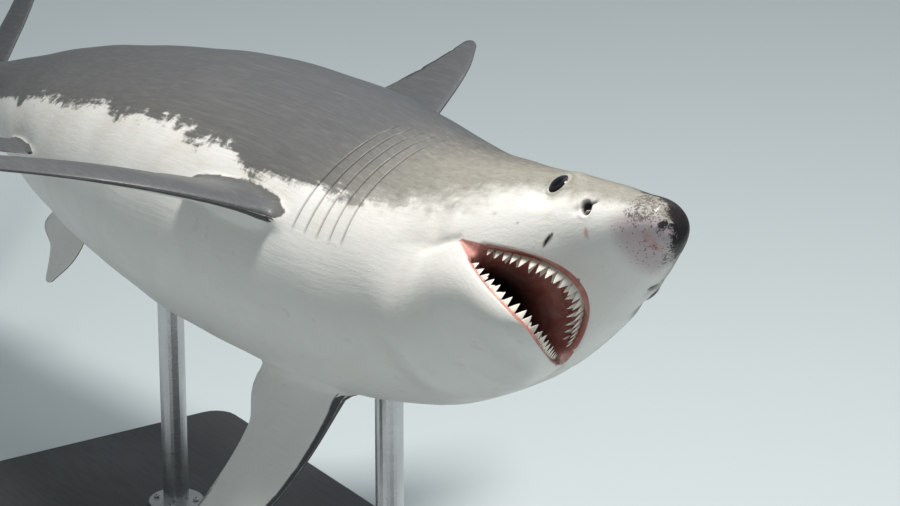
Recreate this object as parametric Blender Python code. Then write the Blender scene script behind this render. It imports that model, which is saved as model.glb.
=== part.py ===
"""Great white shark, life size, banked on its left side on a display stand.

Metres, +Z up, head toward +X.  Body shapes are written in the shark's own frame, as
fractions of its length: station (0 at the snout tip, growing tailward), right and up.
"""
import math

import bmesh
import bpy
import numpy as np

# ---------------------------------------------------------------- driving sizes
LENGTH = 3.8                 # snout tip to the tip of the upper tail lobe
GAP = 0.0004                 # clearance between neighbouring solids
TIP_AT = (1.500, -0.020, 1.330)

# station: (top, bottom, half width), all fractions of the length
PROFILE = {
    0.000: (0.0000, 0.0000, 0.0000),
    0.003: (0.0092, 0.0074, 0.0090),
    0.008: (0.0128, 0.0104, 0.0130),
    0.020: (0.0160, 0.0145, 0.0186),
    0.038: (0.0222, 0.0203, 0.0262),
    0.056: (0.0275, 0.0262, 0.0325),
    0.080: (0.0350, 0.0440, 0.0405),
    0.110: (0.0432, 0.0560, 0.0485),
    0.150: (0.0535, 0.0660, 0.0570),
    0.200: (0.0640, 0.0735, 0.0645),
    0.260: (0.0740, 0.0790, 0.0705),
    0.340: (0.0815, 0.0830, 0.0745),
    0.420: (0.0800, 0.0820, 0.0735),
    0.520: (0.0690, 0.0740, 0.0630),
    0.620: (0.0530, 0.0590, 0.0480),
    0.700: (0.0380, 0.0420, 0.0330),
    0.760: (0.0250, 0.0270, 0.0220),
    0.800: (0.0175, 0.0175, 0.0150),
    0.830: (0.0150, 0.0150, 0.0125),
    0.855: (0.0115, 0.0115, 0.0090),
    0.880: (0.0040, 0.0040, 0.0025),
}
ROUNDNESS = 0.92             # below 1 fills the section out a little past an ellipse
KEEL = 0.0090                # how far the tail keels stand out of each side

# heading of the body at stations along it, degrees
YAW = {0.00: 0.0, 0.08: 0.0, 0.29: -2.0, 0.50: -2.0, 0.70: -5.0, 0.90: -11.0}
PITCH = {0.00: 26.3, 0.08: 26.3, 0.29: 5.0, 0.50: 4.5, 0.70: 7.5, 0.90: 12.5}
ROLL = {0.00: 59.0, 0.08: 59.0, 0.29: 70.5, 0.50: 65.5, 0.70: 53.0, 0.90: 40.0}

# mouth
MOUTH_FRONT = 0.056
MOUTH_CORNER = 0.112
MOUTH_HALF_WIDTH = 0.0405
NECK = 0.182                 # where the jaw and the skull meet the gill region
CAVITY_END = 0.146
THROAT_DROP = 0.012          # how far the throat is pushed down by the open jaw
JAW_FULLNESS = 0.75          # below 1 squares off the jaw's section under the lips
SKULL_BOTTOM = {
    0.056: 0.0262, 0.066: 0.0308, 0.080: 0.0370, 0.112: 0.0495, 0.150: 0.0628, 0.182: 0.0712}
JAW_BOTTOM = {
    0.056: 0.0262, 0.060: 0.0345, 0.066: 0.0400, 0.080: 0.0475, 0.112: 0.0575, 0.150: 0.0660,
    0.182: 0.0712}
GAPE = 36.0                  # degrees the lower jaw hangs open
PALATE_ARCH = 0.016
FLOOR_DIP = 0.45             # share of the jaw's own depth
TONGUE_RISE = 0.005

# teeth
UPPER_TEETH = 10             # on each side of the middle
LOWER_TEETH = 10
TOOTH_HEIGHT = 0.0082
TOOTH_WIDTH = 0.0060
TOOTH_INSET = 0.0034

# eyes
EYE_STATION = 0.0672
EYE_ABOVE_SIDE = 10.0  # degrees
EYE_FACING = (0.215, 0.967, -0.110)  # ahead, to the side, up
EYE_RADIUS = 0.0062
EYE_DEPTH_RADIUS = 0.0030
EYE_SUNK = 0.0016

# display stand
BASE_SIZE = (1.90, 0.86, 0.030)
BASE_CORNER = 0.06
BASE_EDGE = 0.006
ROD_RADIUS = 0.030
COLLAR_RADIUS = 0.065
COLLAR_HEIGHT = 0.018
ROD_STATIONS = {"stand_rod_front": (0.305, 0.075), "stand_rod_rear": (0.540, 0.010)}

# lengths of the body: start, end and number of rings
SECTIONS = {
    "gill_region": (NECK, 0.262, 7),
    "trunk_front": (0.262, 0.440, 9),
    "trunk_rear": (0.440, 0.640, 9),
    "tail_stalk": (0.640, 0.880, 15),
}

# mesh density
AROUND = 30
ACROSS_MOUTH = 7
FIN_LOOP = 9


# ---------------------------------------------------------------- curves
def smooth(low, high, value):
    """Rise from 0 to 1 between low and high with level ends."""
    part = np.clip((value - low) / (high - low), 0.0, 1.0)
    return part * part * (3.0 - 2.0 * part)


def slopes(x, y):
    """Monotone slopes for a cubic through the points x, y."""
    step = np.diff(x)
    rise = np.diff(y) / step
    slope = np.empty_like(y)
    slope[0] = rise[0]
    slope[-1] = rise[-1]
    for i in range(1, len(x) - 1):
        if rise[i - 1] * rise[i] <= 0.0:
            slope[i] = 0.0
            continue
        a = 2.0 * step[i] + step[i - 1]
        b = step[i] + 2.0 * step[i - 1]
        slope[i] = (a + b) / (a / rise[i - 1] + b / rise[i])
    return slope


def through(x, y, value):
    """Cubic through the points x, y, read at value."""
    x = np.asarray(x, float)
    y = np.asarray(y, float)
    value = np.clip(value, x[0], x[-1])
    slope = slopes(x, y)
    i = np.clip(np.searchsorted(x, value, side="right") - 1, 0, len(x) - 2)
    step = x[i + 1] - x[i]
    u = (value - x[i]) / step
    lift = (1.0 + 2.0 * u) * (1.0 - u) ** 2 * y[i] + u * u * (3.0 - 2.0 * u) * y[i + 1]
    lean = u * (1.0 - u) ** 2 * slope[i] - u * u * (1.0 - u) * slope[i + 1]
    return lift + lean * step


def read(table, column, value):
    """Read one column of a station table at value."""
    rows = list(table.values())
    if column is not None:
        rows = [row[column] for row in rows]
    return through(list(table), rows, np.asarray(value, float))


# ---------------------------------------------------------------- body surface
def keel(station):
    """Extra half width of the tail keels."""
    return KEEL * smooth(0.72, 0.79, station) * (1.0 - smooth(0.83, 0.88, station))


def skin(station, angle, grow=0.0):
    """Right and up of the body's outside, angle 0 on the back and pi on the belly."""
    angle = np.asarray(angle, float)
    top = read(PROFILE, 0, station)
    bottom = read(PROFILE, 1, station)
    side = read(PROFILE, 2, station)
    sine = np.sin(angle)
    cosine = np.cos(angle)
    right = np.sign(sine) * np.abs(sine) ** ROUNDNESS * (side + grow)
    right = right + np.sign(sine) * np.abs(sine) ** 9 * keel(station)
    reach = np.where(cosine > 0.0, top, bottom) + grow
    up = np.sign(cosine) * np.abs(cosine) ** ROUNDNESS * reach
    return right, up


def spine_table(count=700):
    """Integrate the spine tailward and return stations, points and frames."""
    station = np.linspace(0.0, 1.0, count)
    yaw = np.radians(read(YAW, None, station))
    pitch = np.radians(read(PITCH, None, station))
    roll = np.radians(read(ROLL, None, station))
    ahead = np.stack([np.cos(pitch) * np.cos(yaw), np.cos(pitch) * np.sin(yaw), np.sin(pitch)], 1)
    level = np.cross(ahead, (0.0, 0.0, 1.0))
    level /= np.linalg.norm(level, axis=1)[:, None]
    over = np.cross(level, ahead)
    right = level * np.cos(roll)[:, None] + over * np.sin(roll)[:, None]
    up = over * np.cos(roll)[:, None] - level * np.sin(roll)[:, None]
    step = LENGTH * (station[1] - station[0])
    walk = 0.5 * (ahead[1:] + ahead[:-1]) * step
    point = np.vstack([np.zeros(3), -np.cumsum(walk, axis=0)]) + np.array(TIP_AT)
    return station, point, ahead, right, up


SPINE = spine_table()


def frame_at(station):
    """Origin, ahead, right and up of the spine at one or many stations."""
    station = np.asarray(station, float)
    axes = []
    for table in SPINE[1:]:
        axes.append(np.stack([np.interp(station, SPINE[0], table[:, k]) for k in range(3)], -1))
    for i in (1, 2, 3):
        axes[i] = axes[i] / np.linalg.norm(axes[i], axis=-1, keepdims=True)
    return axes


def to_world(station, right, up):
    """Carry body coordinates along the bent spine."""
    origin, _, right_axis, up_axis = frame_at(station)
    right = np.asarray(right, float)[..., None] * LENGTH
    up = np.asarray(up, float)[..., None] * LENGTH
    return origin + right * right_axis + up * up_axis


def to_world_rigid(base, station, right, up):
    """Carry body coordinates with the one frame at the base station."""
    origin, ahead, right_axis, up_axis = frame_at(base)
    back = (np.asarray(station, float)[..., None] - base) * LENGTH
    right = np.asarray(right, float)[..., None] * LENGTH
    up = np.asarray(up, float)[..., None] * LENGTH
    return origin - back * ahead + right * right_axis + up * up_axis


# ---------------------------------------------------------------- mesh making
def material(name, colour, roughness, metallic=0.0):
    """Plain Principled material for one node."""
    made = bpy.data.materials.new(name)
    made.use_nodes = True
    shader = made.node_tree.nodes["Principled BSDF"]
    shader.inputs["Base Color"].default_value = (*colour, 1.0)
    shader.inputs["Roughness"].default_value = roughness
    shader.inputs["Metallic"].default_value = metallic
    return made


FLESH = ((0.33, 0.33, 0.33), 0.45)
EYE = ((0.005, 0.005, 0.007), 0.08)
STEEL = ((0.55, 0.55, 0.56), 0.35, 1.0)
PAINT = ((0.05, 0.05, 0.055), 0.5)


def new_object(name, mesh_maker, look):
    """Object from a bmesh, normals out, with its own material."""
    mesh = bpy.data.meshes.new(name)
    bmesh.ops.triangulate(mesh_maker, faces=mesh_maker.faces[:])
    bmesh.ops.recalc_face_normals(mesh_maker, faces=mesh_maker.faces[:])
    mesh_maker.to_mesh(mesh)
    mesh_maker.free()
    made = bpy.data.objects.new(name, mesh)
    bpy.context.scene.collection.objects.link(made)
    mesh.materials.append(material(name + "_look", *look))
    return made


def loft(grid, close_start=True, close_end=True):
    """Closed bmesh from rings of points, joining points that coincide."""
    made = bmesh.new()
    known = {}
    index = []
    for ring in grid:
        row = []
        for point in ring:
            key = tuple(np.round(point, 6))
            if key not in known:
                known[key] = made.verts.new(point)
            row.append(known[key])
        index.append(row)
    for first, second in zip(index[:-1], index[1:]):
        for j in range(len(first)):
            k = (j + 1) % len(first)
            add_face(made, (first[j], first[k], second[k], second[j]))
    if close_start:
        add_face(made, index[0])
    if close_end:
        add_face(made, index[-1])
    return made


def add_face(made, corners):
    """Face from corners, dropping repeated ones."""
    kept = []
    for corner in corners:
        if corner not in kept:
            kept.append(corner)
    if len(kept) > 2:
        made.faces.new(kept)


def boolean(target, cutter, operation):
    """Apply an exact Boolean and keep the target's name."""
    step = target.modifiers.new("cut", "BOOLEAN")
    step.operation = operation
    step.solver = "EXACT"
    step.use_self = True
    step.object = cutter
    bpy.context.view_layer.update()
    graph = bpy.context.evaluated_depsgraph_get()
    result = bpy.data.meshes.new_from_object(target.evaluated_get(graph))
    target.modifiers.clear()
    old = target.data
    target.data = result
    target.data.name = target.name
    bpy.data.meshes.remove(old)


def drop(thing):
    """Remove a helper object."""
    bpy.data.objects.remove(thing, do_unlink=True)


# ---------------------------------------------------------------- trunk
def body_rings(stations, count, grow=0.0):
    """Rings of points round the body."""
    angle = np.linspace(0.0, 2.0 * math.pi, count, endpoint=False)
    rings = []
    for station in stations:
        right, up = skin(station, angle, grow / LENGTH)
        rings.append(to_world(np.full(count, station), right, up))
    return np.array(rings)


def section_stations():
    """Ring stations of each solid length of the body behind the neck."""
    half = 0.5 * GAP / LENGTH
    made = {}
    for name, (start, end, count) in SECTIONS.items():
        made[name] = np.linspace(start + half, end - half, count)
    end = made["tail_stalk"][-1]
    made["tail_stalk"] = np.concatenate([np.linspace(0.640 + half, 0.80, 8),
                                         np.linspace(0.80, end, 8)[1:]])
    return made


def make_trunk():
    """Gill region, trunk and tail stalk."""
    for name, stations in section_stations().items():
        new_object(name, loft(body_rings(stations, AROUND)), FLESH)


def body_cutter():
    """Slightly fuller body that trims fins and rods to the skin."""
    stations = np.concatenate(list(section_stations().values()))
    rings = body_rings(stations, AROUND, GAP)
    made = new_object("trim", loft(rings), FLESH)
    made.hide_render = True
    made.display_type = "WIRE"
    return made


# ---------------------------------------------------------------- head and jaw
def mouth_half_width(station):
    """Half width of the mouth line seen from below."""
    part = (np.asarray(station, float) - MOUTH_FRONT) / (MOUTH_CORNER - MOUTH_FRONT)
    return MOUTH_HALF_WIDTH * np.sqrt(np.clip(part, 0.0, 1.0))


def skull(station, angle):
    """Right and up of the skull's outside, shallower below than the closed head."""
    right, up = skin(station, angle)
    if station <= MOUTH_FRONT:
        return right, up
    ratio = read(SKULL_BOTTOM, None, station) / read(PROFILE, 1, station)
    return right, np.where(up < 0.0, up * ratio, up)


def lip(station):
    """Right and up of the right lip line."""
    right, up = skull(station, mouth_angle(station))
    return float(right), float(up)


def mouth_angle(station):
    """Angle of the mouth line round the section, pi ahead of the mouth."""
    if station <= MOUTH_FRONT:
        return math.pi
    capped = min(float(station), MOUTH_CORNER)
    share = mouth_half_width(capped) / read(PROFILE, 2, capped)
    return math.pi - math.asin(float(np.clip(share, 0.0, 1.0)) ** (1.0 / ROUNDNESS))


def cavity(station):
    """How open the mouth's lining is at a station, 0 to 1."""
    rise = smooth(MOUTH_FRONT, MOUTH_FRONT + 0.024, station)
    return float(rise * (1.0 - smooth(0.118, CAVITY_END, station)))


def head_stations():
    """Stations of the head's rings, close at the snout and round the mouth's front."""
    snout = 0.056 * np.linspace(0.0, 1.0, 10) ** 1.9
    front = MOUTH_FRONT + 0.056 * (np.linspace(0.0, 1.0, 8)[1:]) ** 2
    neck = np.linspace(MOUTH_CORNER, NECK - 0.5 * GAP / LENGTH, 5)[1:]
    return np.concatenate([snout, front, neck])


def jaw_depth(station):
    """Depth of the closed lower jaw from the lips down to the chin."""
    return max(float(read(JAW_BOTTOM, None, station)) + lip(station)[1], 0.0)


def lining(station, height, middle_rise, count):
    """Right and up across the mouth between the lips, right lip to left lip."""
    right, up = lip(station)
    share = np.linspace(1.0, -1.0, count + 1)[1:-1]
    bow = height * cavity(station) * (1.0 - share ** 2)
    middle = middle_rise * cavity(station) * np.exp(-(share / 0.42) ** 2)
    return right * share, up + bow + middle


def head_ring(station):
    """Ring of the skull: back and sides down to the lips, then the palate."""
    angle = mouth_angle(station)
    turn = np.linspace(-angle, angle, AROUND + 1)
    right, up = skull(station, turn)
    across, roof = lining(station, PALATE_ARCH, 0.0, ACROSS_MOUTH)
    right = np.concatenate([right, across])
    up = np.concatenate([up, roof])
    return to_world(np.full(len(right), station), right, up)


def open_jaw(station, right, up):
    """Swing lower jaw points down about the mouth corner, fading out at the neck."""
    station = np.asarray(station, float)
    ahead = np.clip(MOUTH_CORNER - station, 0.0, None)
    hinge = np.array([lip(max(s, MOUTH_CORNER))[1] for s in station.ravel()])
    hinge = hinge.reshape(station.shape)
    swing = np.radians(GAPE) * (1.0 - smooth(MOUTH_CORNER, NECK, station))
    rise = up - hinge
    forward = ahead * np.cos(swing) + rise * np.sin(swing)
    lift = -ahead * np.sin(swing) + rise * np.cos(swing)
    throat = smooth(0.080, 0.120, station) * (1.0 - smooth(0.130, NECK, station))
    sag = THROAT_DROP * throat * smooth(0.0, 0.028, -rise)
    return station - (forward - ahead), right, hinge + lift - sag


def jaw_ring(station):
    """Ring of the lower jaw: lip, chin, lip, then the mouth's floor."""
    angle = mouth_angle(station)
    count = AROUND // 2 + 4
    right, up = skin(station, np.linspace(angle, 2.0 * math.pi - angle, count))
    side, level = lip(station)
    turn = np.linspace(0.0, math.pi, count)
    chin = read(JAW_BOTTOM, None, station) / -np.min(up)
    up = up * (level / up[0] + (chin - level / up[0]) * np.sin(turn))
    under = level - jaw_depth(station) * np.abs(np.sin(turn)) ** JAW_FULLNESS
    blend = float(smooth(MOUTH_CORNER, 0.165, station))
    right = blend * right + (1.0 - blend) * side * np.cos(turn)
    up = blend * up + (1.0 - blend) * under
    across, floor = lining(station, -FLOOR_DIP * jaw_depth(station), TONGUE_RISE, ACROSS_MOUTH)
    right = np.concatenate([right, -across])
    up = np.concatenate([up, floor]) - GAP / LENGTH
    return to_world(*open_jaw(np.full(len(right), station), right, up))


def tooth_places(count, inset):
    """Stations and rights of teeth spread evenly along the mouth line."""
    station = MOUTH_FRONT + 0.056 * np.linspace(0.0, 0.86, 200) ** 2
    right = mouth_half_width(station)
    run = np.concatenate([[0.0], np.cumsum(np.hypot(np.diff(station), np.diff(right)))])
    at = (np.arange(count) + 0.5) / count * run[-1]
    middle = np.interp(at, run, station)
    side = np.interp(at, run, right)
    slope = np.arctan2(np.gradient(right, run), np.gradient(station, run))
    lean = np.interp(at, run, slope)
    # the inset runs square to the mouth line, into the mouth
    return middle + inset * np.sin(lean), side - inset * np.cos(lean), lean


def tooth(made, place, side, height, direction, mover, number, count):
    """Add the solid of one pointed tooth, its root inside the gum."""
    station, right, lean = place
    shrink = 1.0 - 0.68 * (number / count) ** 1.5
    tall = height * shrink
    half = 0.5 * TOOTH_WIDTH * (0.55 + 0.45 * shrink)
    thick = 0.28 * half
    along = (math.cos(lean), math.sin(lean))
    inward = (math.sin(lean), -math.cos(lean))
    root = lip(station)[1]
    spots = []
    for a, b in ((-1, -1), (1, -1), (1, 1), (-1, 1)):
        spots.append((station + a * half * along[0] + b * thick * inward[0],
                      side * (right + a * half * along[1] + b * thick * inward[1]),
                      root - direction * 0.0035))
    spots.append((station + 0.20 * half, side * right, root + direction * tall))
    spots = np.array(spots)
    points = mover(spots[:, 0], spots[:, 1], spots[:, 2])
    corner = [made.verts.new(point) for point in points]
    made.faces.new(corner[:4])
    for a in range(4):
        made.faces.new((corner[a], corner[(a + 1) % 4], corner[4]))


def add_teeth(owner, count, height, direction, mover):
    """Join a row of teeth to the jaw they grow from."""
    places = np.array(tooth_places(count, TOOTH_INSET)).T
    made = bmesh.new()
    for number, place in enumerate(places):
        for side in (1.0, -1.0):
            tooth(made, place, side, height, direction, mover, number, count)
    row = new_object("row", made, FLESH)
    boolean(owner, row, "UNION")
    drop(row)


def jaw_mover(station, right, up):
    """World points of lower jaw coordinates."""
    return to_world(*open_jaw(station, right, up))


def eye_frame(side):
    """Centre of an eye, the way it faces, and its along and upward axes."""
    angle = side * (0.5 * math.pi - math.radians(EYE_ABOVE_SIDE))
    step = 0.004

    def spot(station, turn):
        right, up = skin(station, turn)
        return to_world(station, right, up)

    here = spot(EYE_STATION, angle)
    along = spot(EYE_STATION - step, angle) - spot(EYE_STATION + step, angle)
    round_body = spot(EYE_STATION, angle - 0.05) - spot(EYE_STATION, angle + 0.05)
    along /= np.linalg.norm(along)
    outward = np.cross(along, round_body)
    outward /= np.linalg.norm(outward)
    origin = frame_at(EYE_STATION)[0]
    if outward @ (here - origin) < 0.0:
        outward = -outward
    middle = here - outward * EYE_SUNK * LENGTH
    _, ahead, sideways, above = frame_at(EYE_STATION)
    facing = EYE_FACING[0] * ahead + side * EYE_FACING[1] * sideways + EYE_FACING[2] * above
    facing /= np.linalg.norm(facing)
    along -= (along @ facing) * facing
    along /= np.linalg.norm(along)
    return middle, facing, along, np.cross(facing, along)


def eye_solid(name, side, grow, look):
    """Flattened ball of one eye, grown for the socket."""
    centre, outward, along, upward = eye_frame(side)
    wide = EYE_RADIUS * LENGTH + grow
    deep = EYE_DEPTH_RADIUS * LENGTH + grow
    rings = []
    for lift in np.linspace(-0.5 * math.pi, 0.5 * math.pi, 7):
        turn = np.linspace(0.0, 2.0 * math.pi, 14, endpoint=False)
        flat = wide * math.cos(lift) if abs(lift) < 1.57 else 0.0
        ring = centre + outward * deep * math.sin(lift)
        ring = ring + flat * (np.cos(turn)[:, None] * along + np.sin(turn)[:, None] * upward)
        rings.append(ring)
    return new_object(name, loft(np.array(rings), False, False), look)


def make_head():
    """Skull with upper teeth and eye sockets, lower jaw with its teeth, and the eyes."""
    head = new_object("head", loft(np.array([head_ring(s) for s in head_stations()]), False), FLESH)
    add_teeth(head, UPPER_TEETH, TOOTH_HEIGHT, -1.0, to_world)
    stations = head_stations()
    stations = stations[stations >= MOUTH_FRONT - 1e-9]
    jaw = new_object("lower_jaw", loft(np.array([jaw_ring(s) for s in stations]), False), FLESH)
    add_teeth(jaw, LOWER_TEETH, TOOTH_HEIGHT * 0.88, 1.0, jaw_mover)
    for name, side in (("eye_right", 1.0), ("eye_left", -1.0)):
        socket = eye_solid("socket", side, GAP, FLESH)
        boolean(head, socket, "DIFFERENCE")
        drop(socket)
        eye_solid(name, side, 0.0, EYE)


# ---------------------------------------------------------------- fins
def foil(share):
    """Half thickness along a fin's chord, 0 at the front edge and 1 at the back."""
    nose = np.sqrt(np.clip(share, 0.0, 1.0))
    return 1.9 * nose * (1.0 - share) ** 0.9 + 0.10 * share


def fin_rings(leading, trailing, thick, thin, spans):
    """Loops of (chord, span, thickness) from the root to the tip of a fin.

    leading and trailing list (span share, station, span) points of the fin's edges.
    """
    front = np.array(leading, float)
    back = np.array(trailing, float)
    share = 0.5 * (1.0 - np.cos(np.linspace(0.0, math.pi, FIN_LOOP)))
    loops = []
    for v in spans:
        a = np.array([through(front[:, 0], front[:, k], v) for k in (1, 2)])
        b = np.array([through(back[:, 0], back[:, k], v) for k in (1, 2)])
        chord = np.linalg.norm(b - a)
        deep = thick + (thin - thick) * abs(v) ** 0.8
        half = np.maximum(0.5 * deep * foil(share) * min(1.0, chord / 0.03), 0.0004)
        half[0] = 0.0
        line = a[None] + (b - a)[None] * share[:, None]
        upper = np.column_stack([line, half])
        lower = np.column_stack([line[::-1], -half[::-1]])[:-1]
        loops.append(np.vstack([upper, lower]))
    return loops


def make_fin(name, loops, placer, cutter):
    """Solid fin trimmed to the body."""
    grid = np.array([placer(loop) for loop in loops])
    fin = new_object(name, loft(grid), FLESH)
    boolean(fin, cutter, "DIFFERENCE")
    keep_largest(fin)


def keep_largest(thing):
    """Drop slivers that a trim leaves apart from the main solid."""
    made = bmesh.new()
    made.from_mesh(thing.data)
    left = set(made.verts)
    groups = []
    while left:
        stack = [left.pop()]
        group = set(stack)
        while stack:
            for edge in stack.pop().link_edges:
                for vert in edge.verts:
                    if vert in left:
                        left.remove(vert)
                        group.add(vert)
                        stack.append(vert)
        groups.append(group)
    groups.sort(key=len, reverse=True)
    extra = [vert for group in groups[1:] for vert in group]
    bmesh.ops.delete(made, geom=extra, context="VERTS")
    made.to_mesh(thing.data)
    made.free()


def upright(base):
    """Placer for fins in the body's middle plane."""
    def place(loop):
        return to_world_rigid(base, loop[:, 0], loop[:, 2], loop[:, 1])
    return place


def paired(base, side, root_right, root_up, droop, bend):
    """Placer for a paired fin that leaves the side and droops, more toward its tip."""
    def place(loop):
        span = loop[:, 1]
        angle = math.radians(droop) + math.radians(bend) * np.clip(span / 0.2, 0.0, 1.0)
        out = span * np.cos(angle) - loop[:, 2] * np.sin(angle)
        down = span * np.sin(angle) + loop[:, 2] * np.cos(angle)
        return to_world_rigid(base, loop[:, 0], side * (root_right + out), root_up - down)
    return place


FIRST_DORSAL = (
    ((0.0, 0.356, 0.062), (0.35, 0.383, 0.110), (0.7, 0.410, 0.147), (1.0, 0.4340, 0.1690)),
    ((0.0, 0.452, 0.062), (0.12, 0.481, 0.0845), (0.22, 0.462, 0.0915), (0.45, 0.4475, 0.115),
     (0.8, 0.4435, 0.154), (1.0, 0.4440, 0.1690)))
PECTORAL = (
    ((0.0, 0.255, -0.020), (0.35, 0.278, 0.066), (0.7, 0.318, 0.131), (1.0, 0.372, 0.180)),
    ((0.0, 0.337, -0.020), (0.10, 0.352, 0.022), (0.22, 0.340, 0.045), (0.5, 0.347, 0.093),
     (0.8, 0.368, 0.148), (1.0, 0.380, 0.180)))
PELVIC = (
    ((0.0, 0.578, -0.012), (0.5, 0.594, 0.024), (1.0, 0.620, 0.047)),
    ((0.0, 0.618, -0.012), (0.25, 0.648, 0.014), (0.5, 0.632, 0.026), (1.0, 0.627, 0.047)))
SECOND_DORSAL = (
    ((0.0, 0.718, 0.020), (0.5, 0.727, 0.037), (1.0, 0.7370, 0.0465)),
    ((0.0, 0.736, 0.020), (0.3, 0.757, 0.0365), (0.55, 0.743, 0.0385), (1.0, 0.7410, 0.0465)))
ANAL = (
    ((0.0, 0.736, 0.018), (0.5, 0.747, 0.036), (1.0, 0.7590, 0.0475)),
    ((0.0, 0.753, 0.018), (0.3, 0.774, 0.0335), (0.55, 0.762, 0.0375), (1.0, 0.7640, 0.0475)))
CAUDAL = (
    ((-1.0, 0.938, -0.132), (-0.75, 0.900, -0.098), (-0.35, 0.849, -0.040), (0.0, 0.826, 0.0),
     (0.35, 0.848, 0.044), (0.75, 0.914, 0.112), (1.0, 0.9780, 0.158)),
    ((-1.0, 0.946, -0.130), (-0.75, 0.923, -0.085), (-0.35, 0.899, -0.030), (0.0, 0.891, 0.004),
     (0.35, 0.897, 0.040), (0.75, 0.937, 0.103), (1.0, 0.9880, 0.156)))


def spans(count, start=0.0):
    """Even shares along a fin, closer near the tip."""
    even = np.linspace(0.0, 1.0, count)
    return start + (1.0 - start) * (1.0 - (1.0 - even) ** 1.3)


def make_fins():
    """All the fins, each trimmed to the skin with the usual gap."""
    cutter = body_cutter()
    make_fin("first_dorsal_fin", fin_rings(*FIRST_DORSAL, 0.0125, 0.0030, spans(11)),
             upright(0.40), cutter)
    make_fin("second_dorsal_fin", fin_rings(*SECOND_DORSAL, 0.0040, 0.0014, spans(6)),
             upright(0.73), cutter)
    flip = [loop * np.array([1.0, -1.0, 1.0]) for loop in fin_rings(*ANAL, 0.0040, 0.0014, spans(6))]
    make_fin("anal_fin", flip, upright(0.75), cutter)
    for word, side in (("right", 1.0), ("left", -1.0)):
        loops = fin_rings(*PECTORAL, 0.0150, 0.0030, spans(12))
        make_fin("pectoral_fin_" + word, loops,
                 paired(0.29, side, 0.050, -0.052, 45.0, 14.0), cutter)
        loops = fin_rings(*PELVIC, 0.0060, 0.0016, spans(7))
        make_fin("pelvic_fin_" + word, loops,
                 paired(0.60, side, 0.026, -0.048, 48.0, 8.0), cutter)
    bow = np.linspace(-1.0, 1.0, 17)
    bow = np.sign(bow) * (1.0 - (1.0 - np.abs(bow)) ** 1.25)
    make_fin("caudal_fin", fin_rings(*CAUDAL, 0.0110, 0.0026, bow), upright(0.86), cutter)
    drop(cutter)


# ---------------------------------------------------------------- stand
def rounded_plate(width, depth, height, corner, edge):
    """Rings of a flat plate with rounded corners and an eased top edge."""
    def outline(inset):
        points = []
        for quarter in range(4):
            cx = (0.5 * width - corner) * (1 if quarter in (0, 3) else -1)
            cy = (0.5 * depth - corner) * (1 if quarter in (0, 1) else -1)
            for k in range(6):
                turn = math.radians(90.0 * quarter + 18.0 * k)
                reach = corner - inset
                points.append((cx + reach * math.cos(turn), cy + reach * math.sin(turn)))
        return np.array(points)

    rings = []
    for inset, level in ((0.0, 0.0), (0.0, height - edge), (0.3 * edge, height - 0.3 * edge),
                         (edge, height)):
        flat = outline(inset)
        rings.append(np.column_stack([flat, np.full(len(flat), level)]))
    return np.array(rings)


def make_stand():
    """Flat base, and two rods trimmed to the body above them."""
    new_object("stand_base", loft(rounded_plate(*BASE_SIZE, BASE_CORNER, BASE_EDGE)), PAINT)
    cutter = body_cutter()
    for name, (station, aside) in ROD_STATIONS.items():
        centre = frame_at(station)[0]
        low = BASE_SIZE[2] + GAP
        turn = np.linspace(0.0, 2.0 * math.pi, 24, endpoint=False)
        rings = []
        levels = ((low, COLLAR_RADIUS), (low + COLLAR_HEIGHT - 0.003, COLLAR_RADIUS),
                  (low + COLLAR_HEIGHT, COLLAR_RADIUS - 0.003),
                  (low + COLLAR_HEIGHT, ROD_RADIUS), (float(centre[2]), ROD_RADIUS))
        for level, radius in levels:
            x = centre[0] + radius * np.cos(turn)
            y = centre[1] + aside + radius * np.sin(turn)
            rings.append(np.column_stack([x, y, np.full(len(turn), level)]))
        rod = new_object(name, loft(np.array(rings)), STEEL)
        boolean(rod, cutter, "DIFFERENCE")
        keep_largest(rod)
    drop(cutter)


def clear_scene():
    """Remove whatever the scene holds."""
    for thing in list(bpy.data.objects):
        bpy.data.objects.remove(thing, do_unlink=True)


def main():
    """Build the shark and its stand."""
    clear_scene()
    make_head()
    make_trunk()
    make_fins()
    make_stand()


main()
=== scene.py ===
"""Great white shark display model: the visual skin, eyes, teeth and stand finishes.

The body is drawn straight in body coordinates and carried by a bent spine. A station
is the share of the body's length from the snout tip, right and up are shares of the
length too, and angles round the body run from 0 on the back to pi on the belly.
"""
from __future__ import annotations

import logging
import math
from dataclasses import dataclass, field
from enum import Enum
from typing import Mapping, Sequence

import bmesh
import bpy
import numpy as np
from mathutils import Matrix, Vector


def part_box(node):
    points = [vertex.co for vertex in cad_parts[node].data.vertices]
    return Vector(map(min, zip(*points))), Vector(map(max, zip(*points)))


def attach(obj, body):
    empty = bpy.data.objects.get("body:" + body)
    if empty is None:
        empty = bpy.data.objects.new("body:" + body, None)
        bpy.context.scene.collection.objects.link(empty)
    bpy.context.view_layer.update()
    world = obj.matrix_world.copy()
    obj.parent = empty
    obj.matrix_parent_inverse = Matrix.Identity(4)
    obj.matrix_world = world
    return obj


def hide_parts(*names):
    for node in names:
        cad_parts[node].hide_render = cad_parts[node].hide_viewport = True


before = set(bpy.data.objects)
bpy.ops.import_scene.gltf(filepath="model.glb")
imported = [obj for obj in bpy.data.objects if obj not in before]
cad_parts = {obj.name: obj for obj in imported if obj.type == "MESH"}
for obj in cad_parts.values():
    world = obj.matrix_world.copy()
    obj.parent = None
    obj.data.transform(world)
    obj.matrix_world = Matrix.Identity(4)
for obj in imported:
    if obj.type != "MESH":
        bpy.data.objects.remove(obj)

Array = np.ndarray
Real = np.ndarray | float
Faces = list[tuple[int, ...]]
Triple = tuple[float, float, float]
Piece = bpy.types.Object
Mesh = bpy.types.Mesh
Socket = bpy.types.NodeSocket
Material = bpy.types.Material
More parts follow.
